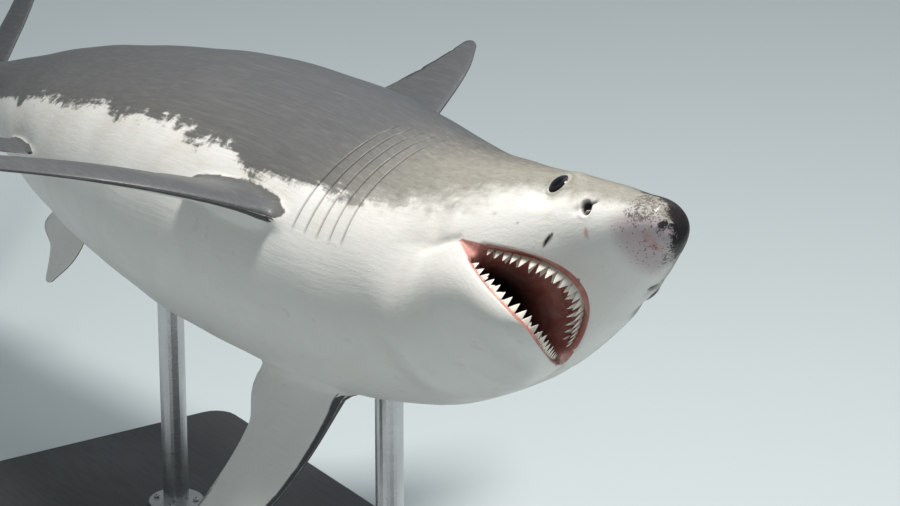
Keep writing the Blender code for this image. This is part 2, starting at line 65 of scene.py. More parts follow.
LOG = logging.getLogger("shark")


# ------------------------------------------------------------------ shape of the body
def smooth(low: float, high: float, value: Real) -> Array:
    """Rise from 0 to 1 between low and high with level ends."""
    part = np.clip((np.asarray(value, float) - low) / (high - low), 0.0, 1.0)
    return part * part * (3.0 - 2.0 * part)


def hill(value: Real, middle: Real, width: Real, power: int = 2) -> Array:
    """Bell of height 1 at the middle, with a flatter top for a power of 4."""
    return np.exp(-((value - middle) / width) ** power)


class Curve:
    """Monotone cubic through named stations."""

    def __init__(self, points: Mapping[float, float]) -> None:
        """Keep the points and work out slopes that never overshoot.

        Args:
            points: height by station, in rising order.
        """
        self.x = np.array(list(points), float)
        self.y = np.array(list(points.values()), float)
        step = np.diff(self.x)
        rise = np.diff(self.y) / step
        self.slope = np.zeros_like(self.y)
        self.slope[0], self.slope[-1] = rise[0], rise[-1]
        for i in range(1, len(self.x) - 1):
            if rise[i - 1] * rise[i] > 0.0:
                a = 2.0 * step[i] + step[i - 1]
                b = step[i] + 2.0 * step[i - 1]
                self.slope[i] = (a + b) / (a / rise[i - 1] + b / rise[i])

    def __call__(self, at: Real) -> Array:
        """Height of the curve.

        Args:
            at: one or many stations.

        Returns:
            Heights, in the shape of the stations.
        """
        at = np.clip(np.asarray(at, float), self.x[0], self.x[-1])
        i = np.clip(np.searchsorted(self.x, at, side="right") - 1, 0, len(self.x) - 2)
        step = self.x[i + 1] - self.x[i]
        u = (at - self.x[i]) / step
        height = (1.0 + 2.0 * u) * (1.0 - u) ** 2 * self.y[i]
        height = height + u * u * (3.0 - 2.0 * u) * self.y[i + 1]
        lean = u * (1.0 - u) ** 2 * self.slope[i] - u * u * (1.0 - u) * self.slope[i + 1]
        return height + lean * step


# station: heights of the back and belly and half width, as shares of the length
PROFILE = {
    0.000: (0.0000, 0.0000, 0.0000),
    0.003: (0.0092, 0.0074, 0.0090),
    0.008: (0.0128, 0.0104, 0.0130),
    0.020: (0.0160, 0.0145, 0.0186),
    0.038: (0.0222, 0.0203, 0.0262),
    0.056: (0.0275, 0.0262, 0.0325),
    0.080: (0.0350, 0.0440, 0.0405),
    0.110: (0.0432, 0.0560, 0.0485),
    0.150: (0.0535, 0.0660, 0.0570),
    0.200: (0.0640, 0.0735, 0.0645),
    0.260: (0.0740, 0.0790, 0.0705),
    0.340: (0.0815, 0.0830, 0.0745),
    0.420: (0.0800, 0.0820, 0.0735),
    0.520: (0.0690, 0.0740, 0.0630),
    0.620: (0.0530, 0.0590, 0.0480),
    0.700: (0.0380, 0.0420, 0.0330),
    0.760: (0.0250, 0.0270, 0.0220),
    0.800: (0.0175, 0.0175, 0.0150),
    0.830: (0.0150, 0.0150, 0.0125),
    0.855: (0.0115, 0.0115, 0.0090),
    0.880: (0.0040, 0.0040, 0.0025),
}
SKULL_BOTTOM = {
    0.056: 0.0262, 0.066: 0.0308, 0.080: 0.0370, 0.112: 0.0495, 0.150: 0.0628, 0.182: 0.0712}
JAW_BOTTOM = {
    0.056: 0.0262, 0.060: 0.0345, 0.066: 0.0400, 0.080: 0.0475, 0.112: 0.0575, 0.150: 0.0660,
    0.182: 0.0712}
# station: heading of the spine in degrees
YAW = {0.00: 0.0, 0.08: 0.0, 0.29: -2.0, 0.50: -2.0, 0.70: -5.0, 0.90: -11.0}
PITCH = {0.00: 26.3, 0.08: 26.3, 0.29: 5.0, 0.50: 4.5, 0.70: 7.5, 0.90: 12.5}
ROLL = {0.00: 59.0, 0.08: 59.0, 0.29: 70.5, 0.50: 65.5, 0.70: 53.0, 0.90: 40.0}


@dataclass
class BodyForm:
    """The shark's outline in its own frame and the bent spine that carries it."""

    length: float = 3.8
    tip: Triple = (1.500, -0.020, 1.330)
    spine_steps: int = 700
    roundness: float = 0.92
    keel: float = 0.0090
    keel_sharpness: int = 9
    mouth_front: float = 0.056
    mouth_corner: float = 0.112
    mouth_half_width: float = 0.0405
    neck: float = 0.182
    gape: float = 36.0
    throat_drop: float = 0.012
    jaw_fullness: float = 0.75

    def __post_init__(self) -> None:
        """Make the outline curves and walk the spine tailward along its heading."""
        self.top, self.bottom, self.side = (
            Curve({s: row[k] for s, row in PROFILE.items()}) for k in range(3))
        self.skull_bottom, self.jaw_bottom = Curve(SKULL_BOTTOM), Curve(JAW_BOTTOM)
        station = np.linspace(0.0, 1.0, self.spine_steps)
        yaw, pitch, roll = (np.radians(Curve(t)(station)) for t in (YAW, PITCH, ROLL))
        ahead = np.stack(
            [np.cos(pitch) * np.cos(yaw), np.cos(pitch) * np.sin(yaw), np.sin(pitch)], 1)
        level = np.cross(ahead, (0.0, 0.0, 1.0))
        level /= np.linalg.norm(level, axis=1)[:, None]
        over = np.cross(level, ahead)
        right = level * np.cos(roll)[:, None] + over * np.sin(roll)[:, None]
        up = over * np.cos(roll)[:, None] - level * np.sin(roll)[:, None]
        walk = 0.5 * (ahead[1:] + ahead[:-1]) * self.length * (station[1] - station[0])
        point = np.vstack([np.zeros(3), -np.cumsum(walk, axis=0)]) + np.array(self.tip)
        self.spine = [station, point, ahead, right, up]

    def frame_at(self, station: Real) -> list[Array]:
        """Origin, ahead, right and up axes of the spine.

        Args:
            station: one or many stations.

        Returns:
            Four arrays of vectors.
        """
        axes = [np.stack([np.interp(station, self.spine[0], table[:, k]) for k in range(3)], -1)
                for table in self.spine[1:]]
        return axes[:1] + [a / np.linalg.norm(a, axis=-1, keepdims=True) for a in axes[1:]]

    def rigid(self, base: Real, station: Real, right: Real, up: Real) -> Array:
        """Carry body coordinates with the spine frames at the base stations.

        Args:
            base: one station for a stiff part, or the points' own stations.
            station: stations.
            right: shares of the length to the right.
            up: shares of the length up.

        Returns:
            Points in metres.
        """
        origin, ahead, right_axis, up_axis = self.frame_at(base)
        back = (np.asarray(station, float)[..., None] - np.asarray(base)[..., None])
        right, up = (np.asarray(v, float)[..., None] * self.length for v in (right, up))
        return origin - back * self.length * ahead + right * right_axis + up * up_axis

    def to_world(self, station: Real, right: Real, up: Real) -> Array:
        """Carry body coordinates along the bent spine, to points in metres."""
        return self.rigid(station, station, right, up)

    def outside(self, station: Real, angle: Real) -> tuple[Array, Array]:
        """Outside of the closed body.

        Args:
            station: stations.
            angle: angles round the body.

        Returns:
            Right and up.
        """
        sine, cosine = np.sin(angle), np.cos(angle)
        fin_keel = self.keel * smooth(0.72, 0.79, station)
        fin_keel = fin_keel * (1.0 - smooth(0.83, 0.88, station))
        right = np.sign(sine) * np.abs(sine) ** self.roundness * self.side(station)
        right = right + np.sign(sine) * np.abs(sine) ** self.keel_sharpness * fin_keel
        reach = np.where(cosine > 0.0, self.top(station), self.bottom(station))
        return right, np.sign(cosine) * np.abs(cosine) ** self.roundness * reach

    def skull(self, station: Real, angle: Real) -> tuple[Array, Array]:
        """Outside of the skull, shallower below than the closed head.

        Args:
            station: stations.
            angle: angles round the body.

        Returns:
            Right and up.
        """
        right, up = self.outside(station, angle)
        inside = (np.asarray(station) > self.mouth_front) & (np.asarray(station) < self.neck)
        ratio = self.skull_bottom(station) / np.maximum(self.bottom(station), 1e-9)
        return right, np.where((up < 0.0) & inside, up * ratio, up)

    def mouth_right(self, station: Real) -> Array:
        """Half width of the mouth line seen from below.

        Args:
            station: stations.

        Returns:
            Shares of the length.
        """
        part = (np.asarray(station, float) - self.mouth_front)
        part = np.clip(part / (self.mouth_corner - self.mouth_front), 0.0, 1.0)
        return self.mouth_half_width * np.sqrt(part)

    def mouth_angle(self, station: Real) -> Array:
        """Angle of the mouth line round the section, pi ahead of the mouth.

        Args:
            station: stations.

        Returns:
            Angles in radians.
        """
        capped = np.clip(station, self.mouth_front, self.mouth_corner)
        share = np.clip(self.mouth_right(capped) / self.side(capped), 0.0, 1.0)
        return math.pi - np.arcsin(share ** (1.0 / self.roundness))

    def lip(self, station: Real) -> tuple[Array, Array]:
        """Right and up of the right lip line."""
        return self.skull(station, self.mouth_angle(station))

    def jaw_depth(self, station: Real) -> Array:
        """Depth of the closed lower jaw from the lips down to the chin."""
        return np.maximum(self.jaw_bottom(station) + self.lip(station)[1], 0.0)

    def open_jaw(self, station: Array, right: Array, up: Array) -> tuple[Array, Array, Array]:
        """Swing lower jaw points down about the mouth corner.

        Args:
            station: stations with the mouth closed.
            right: shares of the length to the right.
            up: shares of the length up.

        Returns:
            Station, right and up with the mouth open.
        """
        station = np.asarray(station, float)
        ahead = np.clip(self.mouth_corner - station, 0.0, None)
        hinge = self.lip(np.maximum(station, self.mouth_corner))[1]
        swing = np.radians(self.gape) * (1.0 - smooth(self.mouth_corner, self.neck, station))
        rise = up - hinge
        forward = ahead * np.cos(swing) + rise * np.sin(swing)
        lift = -ahead * np.sin(swing) + rise * np.cos(swing)
        throat = smooth(0.080, 0.120, station) * (1.0 - smooth(0.130, self.neck, station))
        sag = self.throat_drop * throat * smooth(0.0, 0.028, -rise)
        return station - (forward - ahead), np.asarray(right, float), hinge + lift - sag

    def girth_angle(self, station: Array, right: Array, up: Array) -> Array:
        """Angle round the section of points on the body's outside.

        Args:
            station: stations.
            right: shares of the length to the right.
            up: shares of the length up.

        Returns:
            Angles in radians, without a sign.
        """
        side = np.maximum(self.side(station), 1e-6)
        reach = np.maximum(np.where(up > 0.0, self.top(station), self.bottom(station)), 1e-6)
        power = 1.0 / self.roundness
        across = np.abs(right / side) ** power
        down = np.sign(up) * np.abs(up / reach) ** power
        return np.arctan2(across, down)


# ------------------------------------------------------------------ mesh helpers
class Zone(Enum):
    """Where on the skin a point lies."""

    UPPER = 0.0
    JAW = 1.0
    WEB = 2.0
    PALATE = 3.0
    FLOOR = 4.0
    THROAT = 5.0
    FIN_ABOVE = 6.0
    FIN_BELOW = 7.0


def grid_faces(rows: int, columns: int, start: int, around: bool) -> Faces:
    """Quads of a grid of points numbered row by row.

    Args:
        rows: number of rows.
        columns: number of points in a row.
        start: number of the first point.
        around: whether each row closes on itself.

    Returns:
        Corner numbers of each quad.
    """
    faces = []
    for i in range(rows - 1):
        a, b = start + i * columns, start + (i + 1) * columns
        for j in range(columns if around else columns - 1):
            k = (j + 1) % columns
            faces.append((a + j, a + k, b + k, b + j))
    return faces


def tube_faces(rows: int, columns: int, start: int) -> Faces:
    """Quads of a closed tube and the faces that shut its two ends.

    Args:
        rows: number of loops.
        columns: number of points in a loop.
        start: number of the first point.

    Returns:
        Corner numbers of each face.
    """
    last = start + (rows - 1) * columns
    return grid_faces(rows, columns, start, True) + [
        tuple(range(start, start + columns)), tuple(range(last, last + columns))]


def weld(points: Array, faces: Faces) -> tuple[Array, Faces]:
    """Join points that coincide and drop what collapses.

    Args:
        points: all points.
        faces: corner numbers.

    Returns:
        Numbers of the points kept, and the faces on them.
    """
    keys = np.round(points, 6) + 0.0
    _, first, index = np.unique(keys, axis=0, return_index=True, return_inverse=True)
    index = index.ravel()
    kept = [tuple(dict.fromkeys(int(index[corner]) for corner in face)) for face in faces]
    return first, [face for face in kept if len(face) > 2]


def pull(items: bpy.types.bpy_prop_collection, key: str, width: int = 3,
         kind: type = np.float32) -> Array:
    """Read one property of everything in a collection.

    Args:
        items: vertices, edges, normals or an attribute's data.
        key: the property.
        width: numbers in each entry.
        kind: type the property is stored in.

    Returns:
        One row for each item, or a flat array where the width is 1.
    """
    values = np.zeros(len(items) * width, kind)
    items.foreach_get(key, values)
    values = values.astype(float) if kind is np.float32 else values
    return values.reshape(-1, width) if width > 1 else values


def edge_array(mesh: Mesh) -> Array:
    """Vertex numbers of every edge."""
    return pull(mesh.edges, "vertices", 2, np.int32)


def positions(mesh: Mesh) -> Array:
    """Vertex positions of a mesh."""
    return pull(mesh.vertices, "co")


def normals(mesh: Mesh) -> Array:
    """Vertex normals of a mesh."""
    return pull(mesh.vertex_normals, "vector")


def set_positions(mesh: Mesh, points: Array) -> None:
    """Write vertex positions back to a mesh."""
    mesh.vertices.foreach_set("co", points.astype(np.float32).ravel())
    mesh.update()


def read(mesh: Mesh, *names: str) -> list[Array]:
    """Read named attributes back as arrays.

    Args:
        mesh: the mesh.
        names: the attributes.

    Returns:
        One array for each name.
    """
    found = []
    for layer in (mesh.attributes[name] for name in names):
        flat = layer.data_type == "FLOAT"
        found.append(pull(layer.data, "value" if flat else "vector", 1 if flat else 3))
    return found


def write(mesh: Mesh, **attributes: Array) -> None:
    """Store numbers or vectors at the vertices of a mesh.

    Args:
        mesh: the mesh.
        attributes: the values by name.
    """
    for name, values in attributes.items():
        kind, key = ("FLOAT", "value") if values.ndim == 1 else ("FLOAT_VECTOR", "vector")
        layer = mesh.attributes.get(name) or mesh.attributes.new(name, kind, "POINT")
        layer.data.foreach_set(key, values.astype(np.float32).ravel())


def relax(values: Array, edges: Array, weight: Array, rounds: int) -> Array:
    """Average each value with its neighbours, where the weight allows.

    Args:
        values: positions or numbers at the vertices.
        edges: vertex numbers of every edge.
        weight: how far each vertex may follow, 0 to 1.
        rounds: number of passes.

    Returns:
        The relaxed values.
    """
    values = values.astype(float).copy()
    flat = values.ndim == 1
    if flat:
        values = values[:, None]
    degree = np.bincount(edges.ravel(), minlength=len(values)).astype(float)
    degree = np.maximum(degree, 1.0)[:, None]
    for _ in range(rounds):
        total = np.zeros_like(values)
        for k in range(values.shape[1]):
            total[:, k] = np.bincount(edges[:, 0], values[edges[:, 1], k], len(values))
            total[:, k] += np.bincount(edges[:, 1], values[edges[:, 0], k], len(values))
        values += weight[:, None] * (total / degree - values)
    return values[:, 0] if flat else values


def new_piece(name: str, points: Array, faces: Faces) -> Piece:
    """Object from points and faces, its normals turned outward.

    Args:
        name: the piece's name.
        points: its points in metres.
        faces: corner numbers.

    Returns:
        The object, in the scene.
    """
    mesh = bpy.data.meshes.new(name)
    mesh.from_pydata(points.tolist(), [], faces)
    shape = bmesh.new()
    shape.from_mesh(mesh)
    bmesh.ops.recalc_face_normals(shape, faces=shape.faces[:])
    if shape.calc_volume(signed=True) < 0.0:
        bmesh.ops.reverse_faces(shape, faces=shape.faces[:])
    shape.to_mesh(mesh)
    shape.free()
    return in_scene(name, mesh)


def in_scene(name: str, data: bpy.types.ID) -> Piece:
    """Object that holds a mesh, a lamp or a camera, linked to the scene.

    Args:
        name: the object's name.
        data: what it holds.

    Returns:
        The object.
    """
    thing = bpy.data.objects.new(name, data)
    bpy.context.scene.collection.objects.link(thing)
    return thing


def only(piece: Piece) -> None:
    """Select one object alone and make it active.

    Args:
        piece: the object.
    """
    bpy.ops.object.select_all(action="DESELECT")
    piece.select_set(True)
    bpy.context.view_layer.objects.active = piece


# ------------------------------------------------------------------ node helper
class Nodes:
    """Short-hand for building one material's node tree."""

    def __init__(self, name: str, **constant: float) -> None:
        """Start a Principled material.

        Args:
            name: the material's name.
            constant: numbers for the shader's own sockets, with _ for a space.
        """
        self.material = bpy.data.materials.new(name)
        self.material.use_nodes = True
        self.tree = self.material.node_tree
        self.shader = self.tree.nodes["Principled BSDF"]
        for key, value in constant.items():
            self.shader.inputs[key.replace("_", " ")].default_value = value

    def plug(self, socket: Socket, value: object) -> None:
        """Link a socket or set its value.

        Args:
            socket: the input.
            value: a socket, number, vector or colour.
        """
        if isinstance(value, bpy.types.NodeSocket):
            self.tree.links.new(value, socket)
        elif isinstance(value, tuple) and socket.type == "RGBA":
            socket.default_value = (*value, 1.0)
        else:
            socket.default_value = value

    def add(self, kind: str, output: str | int, inputs: Mapping[str | int, object],
            **settings: object) -> Socket:
        """Add a node.

        Args:
            kind: the shader node's kind.
            output: which output is wanted.
            inputs: values or sockets by input.
            settings: the node's own settings.

        Returns:
            The output.
        """
        node = self.tree.nodes.new("ShaderNode" + kind)
        for key, value in settings.items():
            setattr(node, key, value)
        for key, value in inputs.items():
            if value is not None:
                self.plug(node.inputs[key], value)
        return node.outputs[output]

    def attribute(self, name: str, output: str = "Fac") -> Socket:
        """A named attribute of the mesh."""
        return self.add("Attribute", output, {}, attribute_name=name)

    def coordinate(self) -> Socket:
        """Object coordinates."""
        return self.add("TexCoord", "Object", {})

    def stretch(self, vector: Socket, scale: Triple) -> Socket:
        """A coordinate scaled along its axes."""
        return self.add("Mapping", "Vector", {"Vector": vector, "Scale": scale})

    def noise(self, vector: Socket, scale: float, detail: float = 4.0, rough: float = 0.55,
              distort: float = 0.0) -> Socket:
        """Noise value at a coordinate, its scale in grains to the metre."""
        return self.add("TexNoise", "Fac", {"Vector": vector, "Scale": scale, "Detail": detail,
                                            "Roughness": rough, "Distortion": distort})

    def math(self, kind: str, a: object, b: object, clamp: bool = False) -> Socket:
        """One arithmetic step on two values."""
        return self.add("Math", 0, {0: a, 1: b}, operation=kind, use_clamp=clamp)

    def times(self, a: object, b: object) -> Socket:
        """The product of two values."""
        return self.math("MULTIPLY", a, b)

    def jitter(self, start: object, *wander: tuple[Socket, float]) -> Socket:
        """A value that noise makes wander.

        Args:
            start: the value.
            wander: noise values and how far each moves it.

        Returns:
            The wandering value.
        """
        for value, size in wander:
            shift = self.times(self.math("SUBTRACT", value, 0.5), size)
            start = self.math("ADD", start, shift)
        return start

    def span(self, value: object, low: float, high: float, to_low: float = 0.0,
             to_high: float = 1.0) -> Socket:
        """Map a range smoothly onto another.

        Args:
            value: what is mapped.
            low: start of its range.
            high: end of its range.
            to_low: result at the start.
            to_high: result at the end.

        Returns:
            The mapped value.
        """
        return self.add("MapRange", "Result", {
            "Value": value, "From Min": low, "From Max": high, "To Min": to_low,
            "To Max": to_high}, interpolation_type="SMOOTHSTEP")

    def mix(self, share: object, a: object, b: object) -> Socket:
        """Blend two colours by a share of the second."""
        return self.add("Mix", 2, {0: share, 6: a, 7: b}, data_type="RGBA")

    def ramp(self, value: object, stops: Sequence[tuple[float, Triple]]) -> Socket:
        """Colour by value.

        Args:
            value: what picks the colour.
            stops: places and colours, in rising order.

        Returns:
            The colour.
        """
        colour = self.add("ValToRGB", "Color", {"Fac": value})
        bar = colour.node.color_ramp.elements
        for k, (place, tone) in enumerate((stops[0], stops[-1])):
            bar[k].position, bar[k].color = place, (*tone, 1.0)
        for place, tone in stops[1:-1]:
            bar.new(place).color = (*tone, 1.0)
        return colour

    def bump(self, height: object, distance: float, strength: float,
             under: Socket | None = None) -> Socket:
        """Normal tilted by a height, over another tilt where one is given."""
        return self.add("Bump", "Normal", {"Height": height, "Distance": distance,
                                           "Strength": strength, "Normal": under})

    def finish(self, colour: object, rough: object, tilt: Socket | None = None) -> Material:
        """Plug the shader's inputs.

        Args:
            colour: base colour.
            rough: roughness.
            tilt: normal, where the surface has relief.

        Returns:
            The material.
        """
        for key, value in (("Base Color", colour), ("Roughness", rough), ("Normal", tilt)):
            if value is not None:
                self.plug(self.shader.inputs[key], value)
        return self.material




# ------------------------------------------------------------------ finishes
@dataclass(frozen=True)
class SharkSkin:
    """Countershaded wet skin that turns to pink flesh inside the mouth."""

    white: Triple = (0.76, 0.75, 0.72)
    cream: Triple = (0.60, 0.57, 0.49)
    stain: Triple = (0.45, 0.39, 0.32)
    beige: Triple = (0.275, 0.268, 0.228)
    slate: Triple = (0.062, 0.066, 0.073)
    # pale streaks, partly a painted wet sheen
    pale_streak_and_sheen: Triple = (0.46, 0.44, 0.375)
    shade: Triple = (0.075, 0.070, 0.065)
    peppered: Triple = (0.080, 0.073, 0.066)
    freckle: Triple = (0.31, 0.29, 0.255)
    fleck: Triple = (0.075, 0.060, 0.054)
    blush: Triple = (0.52, 0.43, 0.45)
    rosy: Triple = (0.50, 0.20, 0.19)
    pore: Triple = (0.055, 0.04, 0.038)
    # black of the snout tip, partly painted shade on its left side
    crown: Triple = (0.012, 0.009, 0.009)
    margin: Triple = (0.016, 0.016, 0.019)
    rim: Triple = (0.56, 0.54, 0.48)
    gum: Triple = (0.42, 0.16, 0.135)
    palate: Triple = (0.56, 0.34, 0.30)
    # painted highlight along one edge of each rake mark
    halo: Triple = (0.80, 0.78, 0.74)
    scar: Triple = (0.020, 0.013, 0.013)
    # near-black painted shade for the gill slits, eye sockets, nostrils and throat
    hollow: Triple = (0.006, 0.004, 0.004)
    pores_per_metre: float = 130.0

    def back(self, n: Nodes, lined: Socket, along: Socket, veil: Socket, speck: Socket
             ) -> Socket:
        """Colour of the upper side, beige on the head and slate on the trunk.

        Args:
            n: the node tree.
            lined: height above the border between dark and white.
            along: metres from the snout tip.
            veil: long fine streaks.
            speck: fine grain.

        Returns:
            The colour.
        """
        head = n.ramp(lined, (
            (0.0, self.beige), (0.30, (0.245, 0.235, 0.198)), (0.55, (0.145, 0.135, 0.116)),
            (0.85, (0.055, 0.050, 0.047))))
        trunk = n.ramp(lined, (
            (0.0, (0.125, 0.124, 0.118)), (0.35, (0.090, 0.092, 0.095)), (0.9, self.slate)))
        colour = n.mix(n.span(along, 0.50, 1.05), head, trunk)
        # pale streaks, partly a painted wet sheen, strongest on the head
        pale = n.times(n.span(veil, 0.46, 0.72), n.span(along, 0.5, 1.1, 0.24, 0.07))
        colour = n.mix(pale, colour, self.pale_streak_and_sheen)
        colour = n.mix(n.span(veil, 0.30, 0.46, 0.26, 0.0), colour, self.shade)
        return n.mix(n.span(speck, 0.58, 0.72, 0.0, 0.50), colour, self.peppered)

    def belly(self, n: Nodes, broad: Socket, blotch: Socket, rise: Socket) -> Socket:
        """Colour of the white side with faint stains.

        Args:
            n: the node tree.
            broad: wide noise.
            blotch: noise the size of a hand.
            rise: height above the border between dark and white.

        Returns:
            The colour.
        """
        pale = n.mix(n.span(broad, 0.35, 0.75, 0.0, 0.7), self.white, self.cream)
        pale = n.mix(n.span(rise, -0.40, -0.05, 0.65, 0.0), pale, self.white)
        return n.mix(n.span(blotch, 0.60, 0.80, 0.0, 0.38), pale, self.stain)

    def make(self) -> Material:
        """Lay the colours over each other, from the countershading to the painted shade in the
        hollows.

        Returns:
            The material.
        """
        n = Nodes("shark_skin", Specular_IOR_Level=0.32, Coat_Weight=0.10, Coat_Roughness=0.12,
                  Subsurface_Weight=0.03, Subsurface_Scale=0.01)
        flow = n.attribute("flow", "Vector")
        rise, freckle, blush, flesh = (
            n.attribute(name) for name in ("rise", "freckle", "blush", "flesh"))
        along = n.add("SeparateXYZ", 0, {0: flow})
        broad = n.noise(flow, 5.0, 5.0, 0.6, 0.4)
        blotch = n.noise(flow, 24.0, 5.0, 0.65, 0.6)
        mottle = n.noise(flow, 75.0, 4.0, 0.7, 0.8)
        streak = n.noise(n.stretch(flow, (0.10, 1.0, 1.0)), 80.0, 5.0, 0.6)
        veil = n.noise(n.stretch(flow, (0.045, 1.0, 1.0)), 170.0, 4.0, 0.6)
        speck = n.noise(flow, 240.0, 3.0, 0.6)

        lined = n.jitter(rise, (broad, 0.26), (blotch, 0.22), (streak, 0.16))
        trunk = n.span(along, 0.45, 0.95)
        grey = n.math("ADD", n.times(n.span(lined, -0.02, 0.035), trunk), n.times(
            n.span(lined, -0.10, 0.16), n.math("SUBTRACT", 1.0, trunk)), clamp=True)
        colour = n.mix(grey, self.belly(n, broad, blotch, rise),
                       self.back(n, lined, along, veil, speck))

        dots = n.jitter(n.span(freckle, 0.0, 1.0, -0.42, 0.06), (mottle, 1.2), (speck, 0.7))
        stained = n.jitter(n.attribute("rosy"), (mottle, 1.3))
        pores = n.add("TexVoronoi", "Distance", {"Vector": flow, "Scale": self.pores_per_metre})
        pores = n.times(n.span(pores, 0.12, 0.26, 1.0, 0.0),
                        n.math("MAXIMUM", blush, n.times(freckle, 0.8)))
        ragged = n.jitter(n.attribute("crown"), (mottle, 1.5), (speck, 0.8), (blotch, 0.4))
        frayed = n.jitter(n.attribute("margin"), (blotch, 0.5))
        wet = n.mix(n.span(blotch, 0.35, 0.7), self.gum, self.palate)
        for share, tone in (
                (n.times(freckle, 0.66), self.freckle),
                (n.times(blush, 0.85), self.blush),
                (n.span(dots, -0.05, 0.17, 0.0, 0.80), self.fleck),
                (n.span(stained, 0.40, 1.15, 0.0, 0.62), self.rosy),
                (n.times(pores, 0.8), self.pore),
                (n.span(ragged, 0.33, 0.76, 0.0, 0.97), self.crown),
                (n.span(frayed, 0.38, 0.70, 0.0, 0.93), self.margin),
                (n.times(n.attribute("rim"), 0.22), self.rim),
                (n.span(flesh, 0.30, 0.62), wet),
                # painted highlight beside the rake marks
                (n.attribute("halo"), self.halo),
                (n.attribute("scar"), self.scar),
                # painted shade in the hollows, from the deep attribute
                (n.attribute("deep"), self.hollow)):
            colour = n.mix(share, colour, tone)

        rough = n.jitter(n.span(broad, 0.3, 0.7, 0.42, 0.56), (streak, 0.10))
        fine = n.math("ADD", n.times(veil, 0.5), n.times(speck, 0.5))
        relief = None
        for height, distance, strength in (
                (fine, 0.0009, 0.5), (mottle, 0.0016, 0.22), (streak, 0.0022, 0.4),
                (n.times(pores, -1.0), 0.0012, 0.6)):
            relief = n.bump(height, distance, strength, relief)
        return n.finish(colour, rough, relief)


@dataclass(frozen=True)
class Enamel:
    """Ivory tooth enamel, browner at the root."""

    ivory: Triple = (0.80, 0.77, 0.69)
    root: Triple = (0.46, 0.36, 0.27)
    stain: Triple = (0.62, 0.55, 0.44)

    def make(self) -> Material:
        """Build the material.

        Returns:
            The material.
        """
        n = Nodes("tooth_enamel", Coat_Weight=0.5, Coat_Roughness=0.08)
        grain = n.noise(n.coordinate(), 160.0)
        colour = n.mix(n.span(n.attribute("root"), 0.45, 1.0), self.ivory, self.root)
        colour = n.mix(n.span(grain, 0.45, 0.8, 0.0, 0.25), colour, self.stain)
        return n.finish(colour, 0.22, n.bump(grain, 0.0004, 0.3))


@dataclass(frozen=True)
class DarkEye:
    """Black eye, its wide pupil ringed by the darkest blue-brown iris."""

    pupil: Triple = (0.0012, 0.0012, 0.002)
    iris: tuple[Triple, Triple] = ((0.008, 0.009, 0.016), (0.018, 0.016, 0.018))
    edge: Triple = (0.001, 0.001, 0.001)

    def make(self) -> Material:
        """Build the material.

        Returns:
            The material.
        """
        n = Nodes("dark_eye", Specular_IOR_Level=0.22, Coat_Weight=0.08, Coat_Roughness=0.04)
        ring = n.attribute("iris")
        iris = n.mix(n.span(n.noise(n.coordinate(), 300.0), 0.4, 0.7), *self.iris)
        colour = n.mix(n.span(ring, 0.40, 0.60), self.pupil, iris)
        return n.finish(n.mix(n.span(ring, 0.72, 0.84), colour, self.edge), 0.12)


@dataclass(frozen=True)
class PaintedBoard:
    """Black satin paint on a timber board."""

    paint: tuple[Triple, Triple] = ((0.030, 0.031, 0.034), (0.048, 0.049, 0.052))
    scuffed: Triple = (0.11, 0.11, 0.11)

    def make(self) -> Material:
        """Build the material.

        Returns:
            The material.
        """
        n = Nodes("painted_board")
        at = n.coordinate()
        grain = n.noise(n.stretch(at, (1.0, 9.0, 1.0)), 14.0, 6.0, 0.6)
        scuff = n.noise(n.stretch(at, (0.2, 1.0, 1.0)), 120.0, 3.0)
        colour = n.mix(n.span(n.noise(at, 3.0, 5.0), 0.35, 0.75), *self.paint)
        colour = n.mix(n.span(scuff, 0.68, 0.80, 0.0, 0.25), colour, self.scuffed)
        return n.finish(colour, n.span(grain, 0.3, 0.7, 0.36, 0.50), n.bump(grain, 0.0006, 0.4))


@dataclass(frozen=True)
class BrushedSteel:
    """Steel brushed round the rod."""

    steel: tuple[Triple, Triple] = ((0.52, 0.52, 0.53), (0.60, 0.60, 0.60))

    def make(self) -> Material:
        """Build the material.

        Returns:
            The material.
        """
        n = Nodes("brushed_steel", Metallic=1.0)
        at = n.coordinate()
        brush = n.noise(n.stretch(at, (1.0, 1.0, 60.0)), 22.0, 4.0, 0.7)
        colour = n.mix(n.span(n.noise(at, 9.0), 0.35, 0.7), *self.steel)
        return n.finish(colour, n.span(brush, 0.25, 0.75, 0.24, 0.40), n.bump(brush, 0.0003, 0.35))


@dataclass(frozen=True)
class PaleFloor:
    """Plain pale studio floor."""

    tones: tuple[Triple, Triple] = ((0.56, 0.61, 0.62), (0.52, 0.57, 0.58))

    def make(self) -> Material:
        """Build the material.

        Returns:
            The material.
        """
        n = Nodes("pale_floor")
        cloud = n.noise(n.coordinate(), 1.2, 3.0)
        return n.finish(n.mix(n.span(cloud, 0.3, 0.7, 0.0, 0.12), *self.tones), 0.7)


# ------------------------------------------------------------------ fins
Edge = Sequence[Triple]


@dataclass(frozen=True)
class FinShape:
    """One fin: its edges as (share of the span, station, span) and how it leaves the body."""

    name: str
    leading: Edge
    trailing: Edge
    thick: float
    thin: float
    base: float
    rows: int
    side: float = 0.0
    root: tuple[float, float] = (0.0, 0.0)
    droop: tuple[float, float] = (0.0, 0.0)
    flip: bool = False
    flare: float = 0.6
    body_span: float = 0.0


